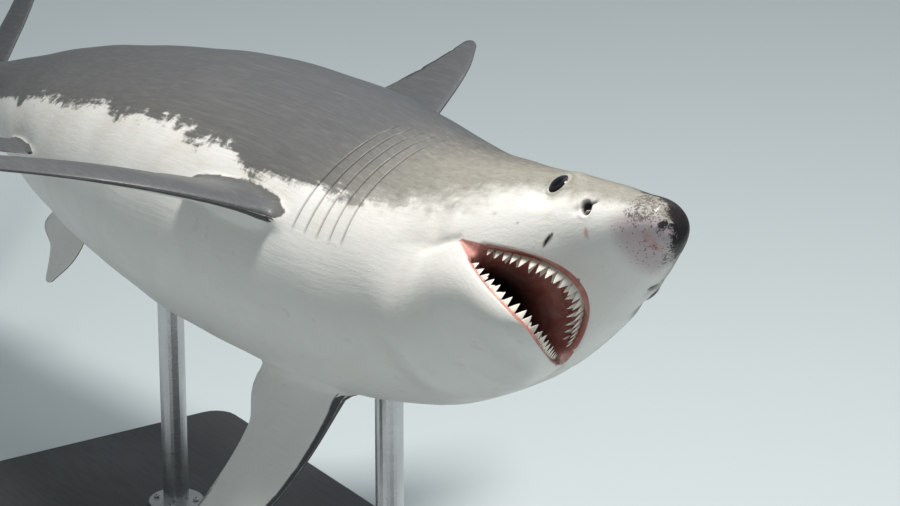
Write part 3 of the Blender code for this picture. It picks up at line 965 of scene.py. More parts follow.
FIRST_DORSAL = (
    ((0.0, 0.356, 0.062), (0.35, 0.383, 0.110), (0.7, 0.410, 0.147), (1.0, 0.4340, 0.1690)),
    ((0.0, 0.452, 0.062), (0.12, 0.481, 0.0845), (0.22, 0.462, 0.0915), (0.45, 0.4475, 0.115),
     (0.8, 0.4435, 0.154), (1.0, 0.4440, 0.1690)))
PECTORAL = (
    ((0.0, 0.255, -0.020), (0.35, 0.278, 0.066), (0.7, 0.318, 0.131), (1.0, 0.372, 0.180)),
    ((0.0, 0.337, -0.020), (0.10, 0.352, 0.022), (0.22, 0.340, 0.045), (0.5, 0.347, 0.093),
     (0.8, 0.368, 0.148), (1.0, 0.380, 0.180)))
PELVIC = (
    ((0.0, 0.578, -0.012), (0.5, 0.594, 0.024), (1.0, 0.620, 0.047)),
    ((0.0, 0.618, -0.012), (0.25, 0.648, 0.014), (0.5, 0.632, 0.026), (1.0, 0.627, 0.047)))
SECOND_DORSAL = (
    ((0.0, 0.718, 0.020), (0.5, 0.727, 0.037), (1.0, 0.7370, 0.0465)),
    ((0.0, 0.736, 0.020), (0.3, 0.757, 0.0365), (0.55, 0.743, 0.0385), (1.0, 0.7410, 0.0465)))
ANAL = (
    ((0.0, 0.736, 0.018), (0.5, 0.747, 0.036), (1.0, 0.7590, 0.0475)),
    ((0.0, 0.753, 0.018), (0.3, 0.774, 0.0335), (0.55, 0.762, 0.0375), (1.0, 0.7640, 0.0475)))
CAUDAL = (
    ((-1.0, 0.938, -0.132), (-0.75, 0.900, -0.098), (-0.35, 0.849, -0.040), (0.0, 0.826, 0.0),
     (0.35, 0.848, 0.044), (0.75, 0.914, 0.112), (1.0, 0.9780, 0.158)),
    ((-1.0, 0.946, -0.130), (-0.75, 0.923, -0.085), (-0.35, 0.899, -0.030), (0.0, 0.891, 0.004),
     (0.35, 0.897, 0.040), (0.75, 0.937, 0.103), (1.0, 0.9880, 0.156)))
# frayed back edge: place along the fin, share of the chord missing, width
NICKS = ((0.36, 0.030, 0.016), (0.47, 0.018, 0.010), (0.60, 0.042, 0.014),
         (0.71, 0.022, 0.012), (0.83, 0.045, 0.012))


@dataclass
class Fins:
    """All the fins as closed shapes whose roots run into the body."""

    form: BodyForm
    loop: int = 26
    tip_starts: float = 0.955
    flare_reach: float = 0.008
    least_half: float = 0.0004
    shapes: list[FinShape] = field(default_factory=list)

    def __post_init__(self) -> None:
        """List the fins."""
        self.shapes = [
            FinShape("first_dorsal", *FIRST_DORSAL, 0.0125, 0.0030, 0.40, 44, body_span=0.081),
            FinShape("second_dorsal", *SECOND_DORSAL, 0.0040, 0.0014, 0.73, 20, body_span=0.031),
            FinShape("anal", *ANAL, 0.0040, 0.0014, 0.75, 20, flip=True, body_span=0.028),
            FinShape("caudal", *CAUDAL, 0.0110, 0.0026, 0.86, 92, flare=0.0)]
        for side in (1.0, -1.0):
            self.shapes += [
                FinShape("pectoral", *PECTORAL, 0.0150, 0.0030, 0.29, 60, side,
                         (0.050, -0.052), (45.0, 14.0), body_span=0.012),
                FinShape("pelvic", *PELVIC, 0.0060, 0.0016, 0.60, 28, side,
                         (0.026, -0.048), (48.0, 8.0), body_span=0.006)]

    @staticmethod
    def foil(share: Array) -> Array:
        """Half thickness along a chord, 0 at the front edge and 1 at the back."""
        nose = np.sqrt(np.clip(share, 0.0, 1.0))
        return 1.9 * nose * (1.0 - share) ** 0.9 + 0.10 * share

    @staticmethod
    def spans(shape: FinShape) -> Array:
        """Where the loops stand.

        Args:
            shape: which fin.

        Returns:
            Shares of the span.
        """
        if shape.name == "caudal":
            bow = np.linspace(-1.0, 1.0, shape.rows)
            return np.sign(bow) * (1.0 - (1.0 - np.abs(bow)) ** 1.25)
        return 1.0 - (1.0 - np.linspace(0.0, 1.0, shape.rows)) ** 1.3

    def build(self, shape: FinShape) -> tuple[Array, Array, Array, Array]:
        """Points of one fin.

        Args:
            shape: which fin.

        Returns:
            World points, body coordinates, zones and dark margin, as grids.
        """
        lead, trail = ([Curve({p[0]: p[k] for p in edge}) for k in (1, 2)]
                       for edge in (shape.leading, shape.trailing))
        share = 0.5 * (1.0 - np.cos(np.linspace(0.0, math.pi, self.loop)))
        round_share = np.concatenate([share, share[::-1][:-1]])
        world, flow, zone, margin = [], [], [], []
        for v in self.spans(shape):
            a, b = (np.array([float(c(v)) for c in edge]) for edge in (lead, trail))
            b = b + (a - b) * self.nick(shape, abs(v))
            close = np.clip((abs(v) - self.tip_starts) / (1.0 - self.tip_starts), 0.0, 1.0)
            middle = 0.45 * a + 0.55 * b
            shrink = math.sqrt(max(1.0 - close * close, 0.03))
            a, b = middle + (a - middle) * shrink, middle + (b - middle) * shrink
            chord = float(np.linalg.norm(b - a))
            deep = shape.thick + (shape.thin - shape.thick) * abs(v) ** 0.8
            line = a[None] + (b - a)[None] * share[:, None]
            half = 0.5 * deep * self.foil(share) * min(1.0, chord / 0.03)
            out = np.clip(line[:, 1] - shape.body_span, 0.0, None)
            half = half * (1.0 + shape.flare * np.exp(-out / self.flare_reach))
            half = np.maximum(half, self.least_half)
            half[0] = 0.0
            loop = np.vstack([np.column_stack([line, half]),
                              np.column_stack([line[::-1], -half[::-1]])[:-1]])
            if shape.flip:
                loop[:, 1] *= -1.0
            body = self.body_place(shape, loop)
            above = loop[:, 2] <= 0.0 if shape.side else np.ones(len(loop), bool)
            world.append(self.form.rigid(shape.base, *body.T))
            flow.append(body)
            zone.append(np.where(above, Zone.FIN_ABOVE.value, Zone.FIN_BELOW.value))
            margin.append(self.dark_edge(shape, abs(v), round_share, above))
        return np.array(world), np.array(flow), np.array(zone), np.array(margin)

    @staticmethod
    def nick(shape: FinShape, v: float) -> float:
        """Share of the chord missing from the frayed back edge."""
        worn = shape.name in ("first_dorsal", "caudal")
        return sum(deep * float(hill(v, at, wide)) for at, deep, wide in NICKS) if worn else 0.0

    @staticmethod
    def dark_edge(shape: FinShape, v: float, share: Array, above: Array) -> Array:
        """How dark the fin's margin is.

        Args:
            shape: which fin.
            v: share of the span.
            share: shares of the chord round the loop.
            above: which points lie on the upper face.

        Returns:
            Darkness at each point of the loop.
        """
        if shape.name == "pectoral":
            tip = smooth(0.70, 0.90, v + 0.14 * share)
            lead = 0.85 * (1.0 - smooth(0.015, 0.075, share))
            back = 0.60 * smooth(0.86, 0.98, share) * smooth(0.25, 0.5, v)
            return np.where(above, 0.30 * tip, np.maximum(np.maximum(tip, lead), back))
        if shape.name == "first_dorsal":
            return 0.75 * smooth(0.80, 1.0, share) * smooth(0.25, 0.6, v)
        return 0.45 * smooth(0.86, 1.0, share)

    @staticmethod
    def body_place(shape: FinShape, loop: Array) -> Array:
        """Set a loop on the body.

        Args:
            shape: which fin.
            loop: points as (station, span, thickness).

        Returns:
            Body coordinates.
        """
        station, span, thick = loop.T
        if not shape.side:
            return np.column_stack([station, thick, span])
        lean = math.radians(shape.droop[0])
        lean = lean + math.radians(shape.droop[1]) * np.clip(span / 0.2, 0.0, 1.0)
        out = span * np.cos(lean) - thick * np.sin(lean)
        down = span * np.sin(lean) + thick * np.cos(lean)
        return np.column_stack([
            station, shape.side * (shape.root[0] + out), shape.root[1] - down])


# ------------------------------------------------------------------ skin
# rows of points across each slit, in millimetres tailward of it
GILL_ROWS = (-15.0, -10.0, -6.4, -3.8, -2.0, -0.9, -0.1, 0.9, 2.6, 5.0, 7.6, 9.8, 11.4, 13.0,
             15.6, 19.6)


@dataclass(frozen=True)
class Gills:
    """Five bowed slits on each side, each behind a raised flap."""

    length: float = 3.8
    first: float = 0.1985
    step: float = 0.0112
    count: int = 5
    middle_angle: float = 97.0
    bow_angle: float = 99.0
    half_span: float = 35.0
    flap: float = 0.0017
    pit: float = 0.0120
    overlap: float = 0.0004

    def middles(self) -> Array:
        """Stations of the slits at their middle."""
        return self.first + self.step * np.arange(self.count)

    def bow(self, angle: Array) -> Array:
        """How far a slit lies tailward of its middle at an angle in degrees."""
        x = (angle - self.bow_angle) / self.half_span
        return 0.0040 * (1.0 - np.exp(-x * x / 1.5)) - 0.0025 * np.tanh(x)

    def press(self, station: Array, angle: Array) -> tuple[Array, Array, Array]:
        """Height, tailward shift and painted shade the slits give the skin.

        Args:
            station: stations of the points.
            angle: angles of the points in degrees.

        Returns:
            Height and shift in metres, painted shade 0 to 1.
        """
        height, shift, dark = (np.zeros(len(station)) for _ in range(3))
        for number, middle in enumerate(self.middles()):
            x = (angle - self.middle_angle - 1.5 * number) / (self.half_span - number)
            taper = np.clip(1.0 - np.abs(x) ** 3.5, 0.0, 1.0)
            run = (station - middle - self.bow(angle)) * self.length * 1000.0
            ahead = hill(run, -1.0, 12.0) * (1.0 - smooth(-0.6, 0.8, run))
            hollow = smooth(-0.6, 1.2, run) * (1.0 - smooth(6.2, 10.6, run))
            height += taper * (self.flap * ahead - self.pit * hollow * taper)
            shift += taper * self.overlap * hill(run, -0.3, 1.7)
            # mostly painted shade inside the open slit, plus the darker skin at the flap's edge
            dark = np.maximum(dark, taper ** 0.6 * smooth(-1.0, 0.6, run)
                              * (1.0 - smooth(6.0, 11.0, run)))
        return height, shift, dark




@dataclass
class Patch:
    """A grid of skin points with what is known of each."""

    place: Array
    rest: Array
    zone: Array
    extra: Array

    def grids(self) -> tuple[Array, Array, Array, Array]:
        """The four grids."""
        return self.place, self.rest, self.zone, self.extra

    def pick(self, columns: slice) -> "Patch":
        """The same patch with some of its columns."""
        return Patch(*(grid[:, columns] for grid in self.grids()))

    @staticmethod
    def join(patches: Sequence["Patch"]) -> "Patch":
        """One patch from several, side by side."""
        return Patch(*(np.concatenate(grids, axis=1)
                       for grids in zip(*(p.grids() for p in patches))))


@dataclass
class Skin:
    """One closed skin over head, jaw, body and fins."""

    form: BodyForm
    fins: Fins
    gills: Gills = field(default_factory=Gills)
    upper_columns: int = 150
    under_columns: int = 66
    lining_columns: int = 44
    web_columns: int = 8
    throat_rows: int = 16
    web_start: float = 0.097
    throat_end: float = 0.150
    arch: float = 0.016
    dip: float = 0.45
    tongue: float = 0.0055
    gum: float = 0.0016
    eye_station: float = 0.0672
    eye_above: float = 10.0
    eye_facing: Triple = (0.215, 0.967, -0.110)
    eye_refined: float = 0.0115
    nostril_station: float = 0.0400
    nostril_below: float = 17.2
    nostril_refined: float = 0.0080
    seam_rounds: int = 40
    fillet_block: int = 4000
    socket_depth: float = 0.0080
    lid_height: float = 0.0011
    lid_crease: float = 0.0009
    nostril_depth: float = 0.0130
    lobe_height: float = 0.0080
    groove_depth: float = 0.0038
    hollow_depth: float = 0.0046
    nostril_edge: float = 0.0007
    fold_height: float = 0.0022
    corner_depth: float = 0.0050
    muscle_height: float = 0.0014
    cheek_height: float = 0.0030
    side_line_depth: float = 0.0007

    # ---- grids
    def stations(self) -> tuple[Array, Array, Array, Array]:
        """Where the rows of points stand.

        Returns:
            Stations of the snout, the mouth, the cheek web and the rest.
        """
        front, corner = self.form.mouth_front, self.form.mouth_corner
        slits = np.add.outer(self.gills.middles(), np.array(GILL_ROWS) / 1000.0
                             / self.form.length).ravel()
        return (
            front * np.linspace(0.0, 1.0, 46) ** 1.45,
            front + (self.web_start - front) * np.linspace(0.0, 1.0, 44) ** 1.8,
            np.linspace(self.web_start, corner, 10),
            np.concatenate([
                np.linspace(corner, slits[0] - 0.0012, 38), slits,
                np.linspace(slits[-1] + 0.003, 0.70, 58)[:-1], np.linspace(0.70, 0.88, 34)]))

    def bowed(self, station: Array, angle: Array) -> Array:
        """Stations of a row bowed to run along the gill slits."""
        reach = smooth(self.form.neck, 0.198, station) * (1.0 - smooth(0.252, 0.300, station))
        return station + reach * self.gills.bow(np.degrees(np.abs(angle)))

    def patch(self, station: Array, right: Array, up: Array, zone: Zone, extra: Array,
              opened: bool) -> Patch:
        """Grid of points, swung with the jaw where asked.

        Args:
            station: stations.
            right: shares of the length to the right.
            up: shares of the length up.
            zone: where on the skin they lie.
            extra: nearness to the lips, or distance from them.
            opened: whether they swing with the lower jaw.

        Returns:
            The patch.
        """
        rest = np.stack([station, right, up], -1)
        place = np.stack(self.form.open_jaw(station, right, up), -1) if opened else rest
        return Patch(place, rest, np.full(station.shape, zone.value), np.broadcast_to(
            extra, station.shape).copy())

    def upper(self, station: Array) -> Patch:
        """Back and sides down to the lips.

        Args:
            station: the rows.

        Returns:
            The patch, left lip to right.
        """
        share = np.linspace(-1.0, 1.0, self.upper_columns + 1)[None]
        angle = self.form.mouth_angle(station[:, None]) * share
        s = self.bowed(station[:, None], angle)
        near = 1.0 - np.abs(share) + 0.0 * s
        return self.patch(s, *self.form.skull(s, angle), Zone.UPPER, near, False)

    def under(self, station: Array) -> Patch:
        """Chin, throat and belly between the lips.

        Args:
            station: the rows.

        Returns:
            The patch, right lip to left.
        """
        turn = np.linspace(0.0, math.pi, self.under_columns + 1)[None]
        angle = self.form.mouth_angle(station[:, None])
        angle = angle + (2.0 * math.pi - 2.0 * angle) * turn / math.pi
        s = self.bowed(station[:, None], math.pi - np.abs(angle - math.pi))
        right, up = self.form.outside(s, angle)
        side, level = self.form.lip(s)
        depth = self.form.jaw_depth(s)
        lowest = np.maximum(-up.min(axis=1, keepdims=True), 1e-9)
        ratio = level / np.minimum(up[:, :1], -1e-9)
        chin = np.where(s >= self.form.neck, 1.0, self.form.jaw_bottom(s) / lowest)
        ratio = np.where(s >= self.form.neck, 1.0, ratio)
        up = up * (ratio + (chin - ratio) * np.sin(turn))
        blend = smooth(self.form.mouth_corner, 0.165, s)
        square = level - depth * np.abs(np.sin(turn)) ** self.form.jaw_fullness
        right = blend * right + (1.0 - blend) * side * np.cos(turn)
        up = blend * up + (1.0 - blend) * square
        near = np.minimum(turn, math.pi - turn) / math.pi + 0.0 * s
        return self.patch(s, right, up, Zone.JAW, near, True)

    def lip_distance(self, station: Array, share: Array) -> Array:
        """Distance of lining points from the lips, seen from below.

        Args:
            station: stations.
            share: place between the lips, -1 to 1.

        Returns:
            Shares of the length.
        """
        front, corner = self.form.mouth_front, self.form.mouth_corner
        bend = self.form.mouth_half_width ** 2 / (corner - front)
        right = share * self.form.mouth_right(station)
        run = np.clip(station, front, corner) - front
        return run * (1.0 - share ** 2) / np.sqrt(1.0 + (2.0 * right / bend) ** 2)

    def lining(self, station: Array, floor: bool) -> Patch:
        """Palate or floor of the mouth between the lips.

        Args:
            station: the rows.
            floor: True for the floor with the tongue, False for the palate.

        Returns:
            The patch, right to left.
        """
        s = station[:, None]
        share = np.linspace(1.0, -1.0, self.lining_columns + 1)[None]
        right, level = self.form.lip(s)
        open_share = smooth(self.form.mouth_front, self.form.mouth_front + 0.024, s)
        away = self.lip_distance(s, share)
        ridge = self.gum * hill(away, 0.0036, 0.0016) * smooth(0.0, 0.0022, away)
        if floor:
            bow = -self.dip * self.form.jaw_depth(s) * open_share * (1.0 - share ** 2)
            pad = self.tongue * hill(np.abs(share), 0.0, 0.46, 4) * smooth(0.068, 0.080, s)
            up = level + bow + pad + ridge
        else:
            up = level + self.arch * open_share * (1.0 - share ** 2) - ridge
        zone = Zone.FLOOR if floor else Zone.PALATE
        return self.patch(s + 0.0 * share, right * share, up, zone, away, floor)

    def web(self, station: Array, side: float) -> Patch:
        """Stretched cheek skin between the lips at one corner.

        Args:
            station: the rows.
            side: 1 for right, -1 for left.

        Returns:
            The patch, upper lip to lower.
        """
        right, level = self.form.lip(station)
        high = np.stack([station, side * right, level], -1)
        low = np.stack(self.form.open_jaw(station, side * right, level), -1)
        part = np.linspace(0.0, 1.0, self.web_columns + 1)[None, :, None]
        place = high[:, None] * (1.0 - part) + low[:, None] * part
        gap = np.linalg.norm(high - low, axis=-1)[:, None]
        sink = 4.0 * part[..., 0] * (1.0 - part[..., 0]) * gap
        place[..., 1] -= side * 0.30 * sink
        place[..., 0] += 0.22 * sink
        shape = place.shape[:2]
        return Patch(place, place.copy(), np.full(shape, Zone.WEB.value), np.zeros(shape))

    def throat(self, ring: Patch) -> Patch:
        """Funnel from the mouth's back edge to a closed throat.

        Args:
            ring: one row round the back edge.

        Returns:
            The funnel.
        """
        start = ring.place[0]
        middle = start.mean(axis=0)
        offset = start - middle
        end = np.column_stack([np.full(len(start), self.throat_end),
                               offset[:, 1] * 0.25, middle[2] + 0.002 + offset[:, 2] * 0.35])
        part = np.linspace(0.0, 1.0, self.throat_rows)[:, None, None]
        squeeze = part ** 0.8
        place = start[None] * (1.0 - part) + end[None] * part
        place[..., 1:] = (start[None] * (1.0 - squeeze) + end[None] * squeeze)[..., 1:]
        shape = place.shape[:2]
        return Patch(place, place.copy(), np.full(shape, Zone.THROAT.value),
                     np.broadcast_to(part[..., 0], shape).copy())

    def assemble(self) -> Piece:
        """Weld the body's grids into one closed piece.

        Returns:
            The straight skin without its fins.
        """
        snout, mouth, web, rear = self.stations()
        edge, most, turned = web[:1], slice(0, -1), slice(None, 0, -1)
        ring = Patch.join([
            self.lining(edge, False).pick(most), self.web(edge, -1.0).pick(most),
            self.lining(edge, True).pick(turned), self.web(edge, 1.0).pick(turned)])
        parts = [
            self.upper(snout), self.upper(mouth), self.under(mouth), self.lining(mouth, False),
            self.lining(mouth, True), self.upper(web), self.under(web), self.web(web, 1.0),
            self.web(web, -1.0), self.upper(rear), self.under(rear), self.throat(ring)]
        faces: Faces = []
        ends = []
        count = 0
        for patch in parts:
            faces += grid_faces(*patch.zone.shape, count, patch is parts[-1])
            count += patch.zone.size
            ends.append(tuple(range(count - patch.zone.shape[1], count)))
        faces += [ends[-1], ends[-3] + ends[-2][1:-1]]
        place, rest, zone, extra = (
            np.concatenate([grid.reshape(-1, *grid.shape[2:]) for grid in grids])
            for grids in zip(*(p.grids() for p in parts)))
        first, kept = weld(place, faces)
        piece = new_piece("skin", place[first] * self.form.length, kept)
        write(piece.data, rest=rest[first], zone=zone[first], extra=extra[first])
        return piece

    # ---- places on the head
    def skin_axes(self, side: float, station: float, above: float, step: float
                  ) -> tuple[Array, Array, Array]:
        """A point of the plain head and the run of the skin there.

        Args:
            side: 1 for right, -1 for left.
            station: its station.
            above: degrees above the widest line.
            step: how far to each side the skin is felt.

        Returns:
            The point, the axis towards the snout and the way towards the back.
        """
        angle = side * (0.5 * math.pi - math.radians(above))
        turn = 0.05 * side
        here, front, rear, high, low = (
            self.form.to_world(s, *self.form.skull(s, a)) for s, a in (
                (station, angle), (station - step, angle), (station + step, angle),
                (station, angle - turn), (station, angle + turn)))
        return here, (front - rear) / np.linalg.norm(front - rear), high - low

    def eye_skin(self, side: float) -> tuple[Array, Array, Array]:
        """Middle of the eye on the plain head and the outward and along axes.

        Args:
            side: 1 for right, -1 for left.

        Returns:
            The point and two axes.
        """
        here, along, over = self.skin_axes(side, self.eye_station, self.eye_above, 0.004)
        outward = np.cross(along, over)
        outward /= np.linalg.norm(outward)
        origin = self.form.frame_at(self.eye_station)[0]
        return here, -outward if outward @ (here - origin) < 0.0 else outward, along

    def eye_frame(self, side: float) -> tuple[Array, Array, Array, Array]:
        """Middle of the eye's opening and its axes, turned to face the side.

        Args:
            side: 1 for right, -1 for left.

        Returns:
            The point and the facing, along and upward axes.
        """
        here, _, along = self.eye_skin(side)
        _, ahead, right, up = self.form.frame_at(self.eye_station)
        facing = self.eye_facing[0] * ahead + side * self.eye_facing[1] * right
        facing = facing + self.eye_facing[2] * up
        facing /= np.linalg.norm(facing)
        along = along - (along @ facing) * facing
        along /= np.linalg.norm(along)
        return here, facing, along, np.cross(facing, along)

    # ---- shaping
    def refine(self, piece: Piece) -> None:
        """Split the faces round the eyes and nostrils finer and lay them on the head.

        Args:
            piece: the straight skin.
        """
        length = self.form.length
        shape = bmesh.new()
        shape.from_mesh(piece.data)
        rest_layer = shape.verts.layers.float_vector["rest"]
        spots = []
        for side in (1.0, -1.0):
            for station, turn, reach in (
                    (self.eye_station, -self.eye_above, self.eye_refined),
                    (self.nostril_station, self.nostril_below, self.nostril_refined)):
                right, up = self.form.skull(station, side * (0.5 * math.pi + math.radians(turn)))
                spots.append((Vector((station, float(right), float(up))), reach))
        for shrink in (1.0, 0.78):
            chosen = set()
            for face in shape.faces:
                middle = face.calc_center_median() / length
                if any((middle - spot).length < reach * shrink for spot, reach in spots):
                    chosen.update(edge.index for edge in face.edges)
            bmesh.ops.subdivide_edges(
                shape, edges=[edge for edge in shape.edges if edge.index in chosen], cuts=1,
                use_grid_fill=True)
            shape.edges.index_update()
        for vert in shape.verts:
            flat = vert.co / length
            if any((flat - spot).length < 1.6 * reach for spot, reach in spots):
                s, r, u = np.array(flat.x), np.array(abs(flat.y)), np.array(flat.z)
                if u < 0.0 and s > self.form.mouth_front:
                    u = u / (self.form.skull_bottom(s) / self.form.bottom(s))
                right, up = self.form.skull(s, self.form.girth_angle(s, r, u))
                flat = Vector((flat.x, math.copysign(float(right), flat.y), float(up)))
                vert.co, vert[rest_layer] = flat * length, flat
        shape.to_mesh(piece.data)
        shape.free()

    @staticmethod
    def border_points(mesh: Mesh, inside: Array, front: float = math.inf) -> Array:
        """Mark the points where two kinds of skin meet.

        Args:
            mesh: the skin.
            inside: which points are of the first kind.
            front: only edges that start before this station count.

        Returns:
            1 at the border points, 0 elsewhere.
        """
        edges = edge_array(mesh)
        crossing = inside[edges[:, 0]] != inside[edges[:, 1]]
        crossing &= read(mesh, "rest")[0][edges[:, 0], 0] < front
        border = np.zeros(len(inside))
        border[edges[crossing].ravel()] = 1.0
        return border

    def round_lips(self, mesh: Mesh) -> None:
        """Soften the edge where the outside turns into the mouth.

        Args:
            mesh: the skin.
        """
        edges = edge_array(mesh)
        inner = np.isin(read(mesh, "zone")[0], [
            zone.value for zone in (Zone.PALATE, Zone.FLOOR, Zone.THROAT)])
        weight = self.border_points(mesh, inner, 0.13)
        for _ in range(2):
            weight = np.maximum(weight, 0.75 * relax(weight, edges, np.ones(len(weight)), 1))
        set_positions(mesh, relax(positions(mesh), edges, np.clip(weight, 0.0, 1.0) * 0.6, 5))

    # ---- fins
    def join_fins(self, piece: Piece) -> None:
        """Unite the fins with the body, keeping what is known of every point.

        Args:
            piece: the bent skin.
        """
        faces: Faces = []
        known = []
        count = 0
        for shape in self.fins.shapes:
            world, flow, zone, margin = self.fins.build(shape)
            faces += tube_faces(*zone.shape, count)
            count += zone.size
            known.append([world.reshape(-1, 3), flow.reshape(-1, 3), zone.ravel(),
                          0.0 * zone.ravel(), margin.ravel()])
        world, *facts = (np.concatenate(parts) for parts in zip(*known))
        cutter = new_piece("fins", world, faces)
        rest, zone, extra = read(piece.data, "rest", "zone", "extra")
        facts = np.vstack([np.column_stack(facts),
                           np.column_stack([rest, zone, extra, 0.0 * extra])])
        number = {tuple(p): k for k, p in enumerate(
            positions(cutter.data).tolist() + positions(piece.data).tolist())}
        only(piece)
        step = piece.modifiers.new("fins", "BOOLEAN")
        step.operation, step.solver, step.object = "UNION", "EXACT", cutter
        bpy.ops.object.modifier_apply(modifier=step.name)
        bpy.data.objects.remove(cutter, do_unlink=True)

        mesh = piece.data
        found = np.array([number.get(tuple(p), -1) for p in positions(mesh).tolist()])
        seam = found < 0
        facts = np.where(seam[:, None], 0.0, facts[found])
        edges = edge_array(mesh)
        LOG.info("skin union: %d points, %d on the fin seams", len(seam), int(seam.sum()))
        for _ in range(self.seam_rounds):
            settled = ~seam
            for near, far in (edges.T, edges.T[::-1]):
                ready = settled[near] & seam[far]
                facts[far[ready]] = facts[near[ready]]
                seam[far[ready]] = False
        write(mesh, rest=facts[:, :3], zone=facts[:, 3], extra=facts[:, 4], margin=facts[:, 5])
        self.fillet(mesh)

    def fillet(self, mesh: Mesh) -> None:
        """Blend the skin where the fins leave the body.

        Args:
            mesh: the skin with its fins.
        """
        points = positions(mesh)
        fin = read(mesh, "zone")[0] >= Zone.FIN_ABOVE.value - 0.5
        seam = points[self.border_points(mesh, fin) > 0.5]
        seam = seam[::2] if len(seam) > self.fillet_block else seam
        weight = np.zeros(len(points))
        for start in range(0, len(points), self.fillet_block):
            block = points[start:start + self.fillet_block]
            low, high = block.min(axis=0) - 0.05, block.max(axis=0) + 0.05
            close = seam[((seam > low) & (seam < high)).all(axis=1)]
            if len(close):
                gap = np.sqrt(((block[:, None] - close[None]) ** 2).sum(-1)).min(axis=1)
                weight[start:start + len(block)] = 1.0 - smooth(0.008, 0.034, gap)
        set_positions(mesh, relax(points, edge_array(mesh), 0.55 * weight, 14))
        write(mesh, root=weight)

    # ---- relief
    def displace(self, mesh: Mesh) -> None:
        """Press the gill slits, eye sockets, nostrils and folds into the skin, and paint shade
        into their hollows.

        Args:
            mesh: the skin.
        """
        rest, zone = read(mesh, "rest", "zone")
        points = positions(mesh)
        s = rest[:, 0]
        angle = np.degrees(self.form.girth_angle(*rest.T))
        outer = (zone == Zone.UPPER.value) | (zone == Zone.JAW.value)
        points = points + normals(mesh) * (outer * self.brows(points, outer))[:, None]
        set_positions(mesh, points)
        # deep holds the shade painted into the slits, sockets and nostrils
        depth, shift, deep = (outer * part for part in self.gills.press(s, angle))
        rim = np.zeros(len(s))
        for side in (1.0, -1.0):
            for press in (self.socket, self.nostril):
                lift, dark, pale = press(points, side)
                depth += outer * lift
                deep = np.maximum(deep, outer * dark)
                rim = np.maximum(rim, outer * pale)
        depth += outer * self.folds(s, angle)
        back = -self.form.frame_at(s)[1]
        set_positions(mesh, points + normals(mesh) * depth[:, None] + back * shift[:, None])
        write(mesh, deep=np.clip(deep, 0.0, 1.0), rim=np.clip(rim, 0.0, 1.0))

    def brows(self, points: Array, outer: Array) -> Array:
        """Height of the ridge over each eye that turns the socket to the side.

        Args:
            points: points of the skin.
            outer: which of them lie outside.

        Returns:
            Heights in metres.
        """
        height = np.zeros(len(points))
        for side in (1.0, -1.0):
            here, outward, _ = self.eye_skin(side)
            facing = self.eye_frame(side)[1]
            lean = facing - (facing @ outward) * outward
            slope = np.linalg.norm(lean) / (facing @ outward)
            gap = points - here
            flat = gap - (gap @ outward)[:, None] * outward
            close = (np.abs(gap @ outward) < 0.06) & outer
            height -= close * slope * (flat @ lean) / np.linalg.norm(lean) * (
                1.0 - smooth(0.024, 0.070, np.linalg.norm(flat, axis=1)))
        return height

    def socket(self, points: Array, side: float) -> tuple[Array, Array, Array]:
        """Press one eye socket: the hole, the lid round it and a crease round that.

        Args:
            points: points of the skin.
            side: 1 for right, -1 for left.

        Returns:
            Height in metres, painted shade in the hole and paleness.
        """
        here, outward, along, upward = self.eye_frame(side)
        gap = points - here
        far = np.hypot(gap @ along, gap @ upward)
        close = np.abs(gap @ outward) < 0.05
        lift = self.lid_height * hill(far, 0.0232, 0.0024)
        lift = lift - self.socket_depth * (1.0 - smooth(0.0182, 0.0212, far))
        lift = lift - self.lid_crease * hill(far, 0.0300, 0.0028)
        # painted shade in the socket's hole, round the eye
        dark = 1.0 - smooth(0.0198, 0.0222, far)
        return close * lift, close * dark, close * hill(far, 0.0245, 0.0030)

    def nostril(self, points: Array, side: float) -> tuple[Array, Array, Array]:
        """Press one nostril: an oval pit with a lobe, a groove ahead and a hollow behind.

        Args:
            points: points of the skin.
            side: 1 for right, -1 for left.

        Returns:
            Height in metres, painted shade in the pit, groove and hollow, and paleness.
        """
        here, along, over = self.skin_axes(
            side, self.nostril_station, -self.nostril_below, 0.003)
        over = over - (over @ along) * along
        gap = points - here
        a, o = gap @ along, gap @ (over / np.linalg.norm(over))
        close = np.linalg.norm(gap, axis=1) < 0.05
        p, q = 0.78 * o - 0.626 * a, 0.626 * o + 0.78 * a
        oval = np.hypot(p / 0.0180, q / 0.0132)
        pit = 1.0 - smooth(0.70, 1.10, oval)
        lobe = hill(p, -0.0050, 0.0026) * hill(q, -0.003, 0.007)
        run, off = 0.831 * a + 0.555 * o, 0.831 * o - 0.555 * a
        trail = smooth(0.004, 0.010, run) * (1.0 - smooth(0.018, 0.031, run))
        trail = trail * hill(off, 0.0, 0.0042)
        run, off = -0.949 * a - 0.316 * o, 0.316 * a - 0.949 * o
        hollow = smooth(0.0, 0.010, run) * (1.0 - smooth(0.014, 0.040, run))
        hollow = hollow * hill(off, 0.0, 0.0085)
        raised = hill(oval, 1.32, 0.22)
        lift = (self.lobe_height * lobe - self.nostril_depth) * pit
        lift = lift - self.groove_depth * trail - self.hollow_depth * hollow
        # painted shade: near-black in the pit and groove, grey in the hollow behind
        dark = np.maximum.reduce([
            smooth(0.15, 0.65, pit) * (1.0 - 0.80 * lobe), 0.88 * trail, 0.20 * hollow])
        lift = lift + self.nostril_edge * raised
        return close * lift, close * dark, close * 0.25 * raised

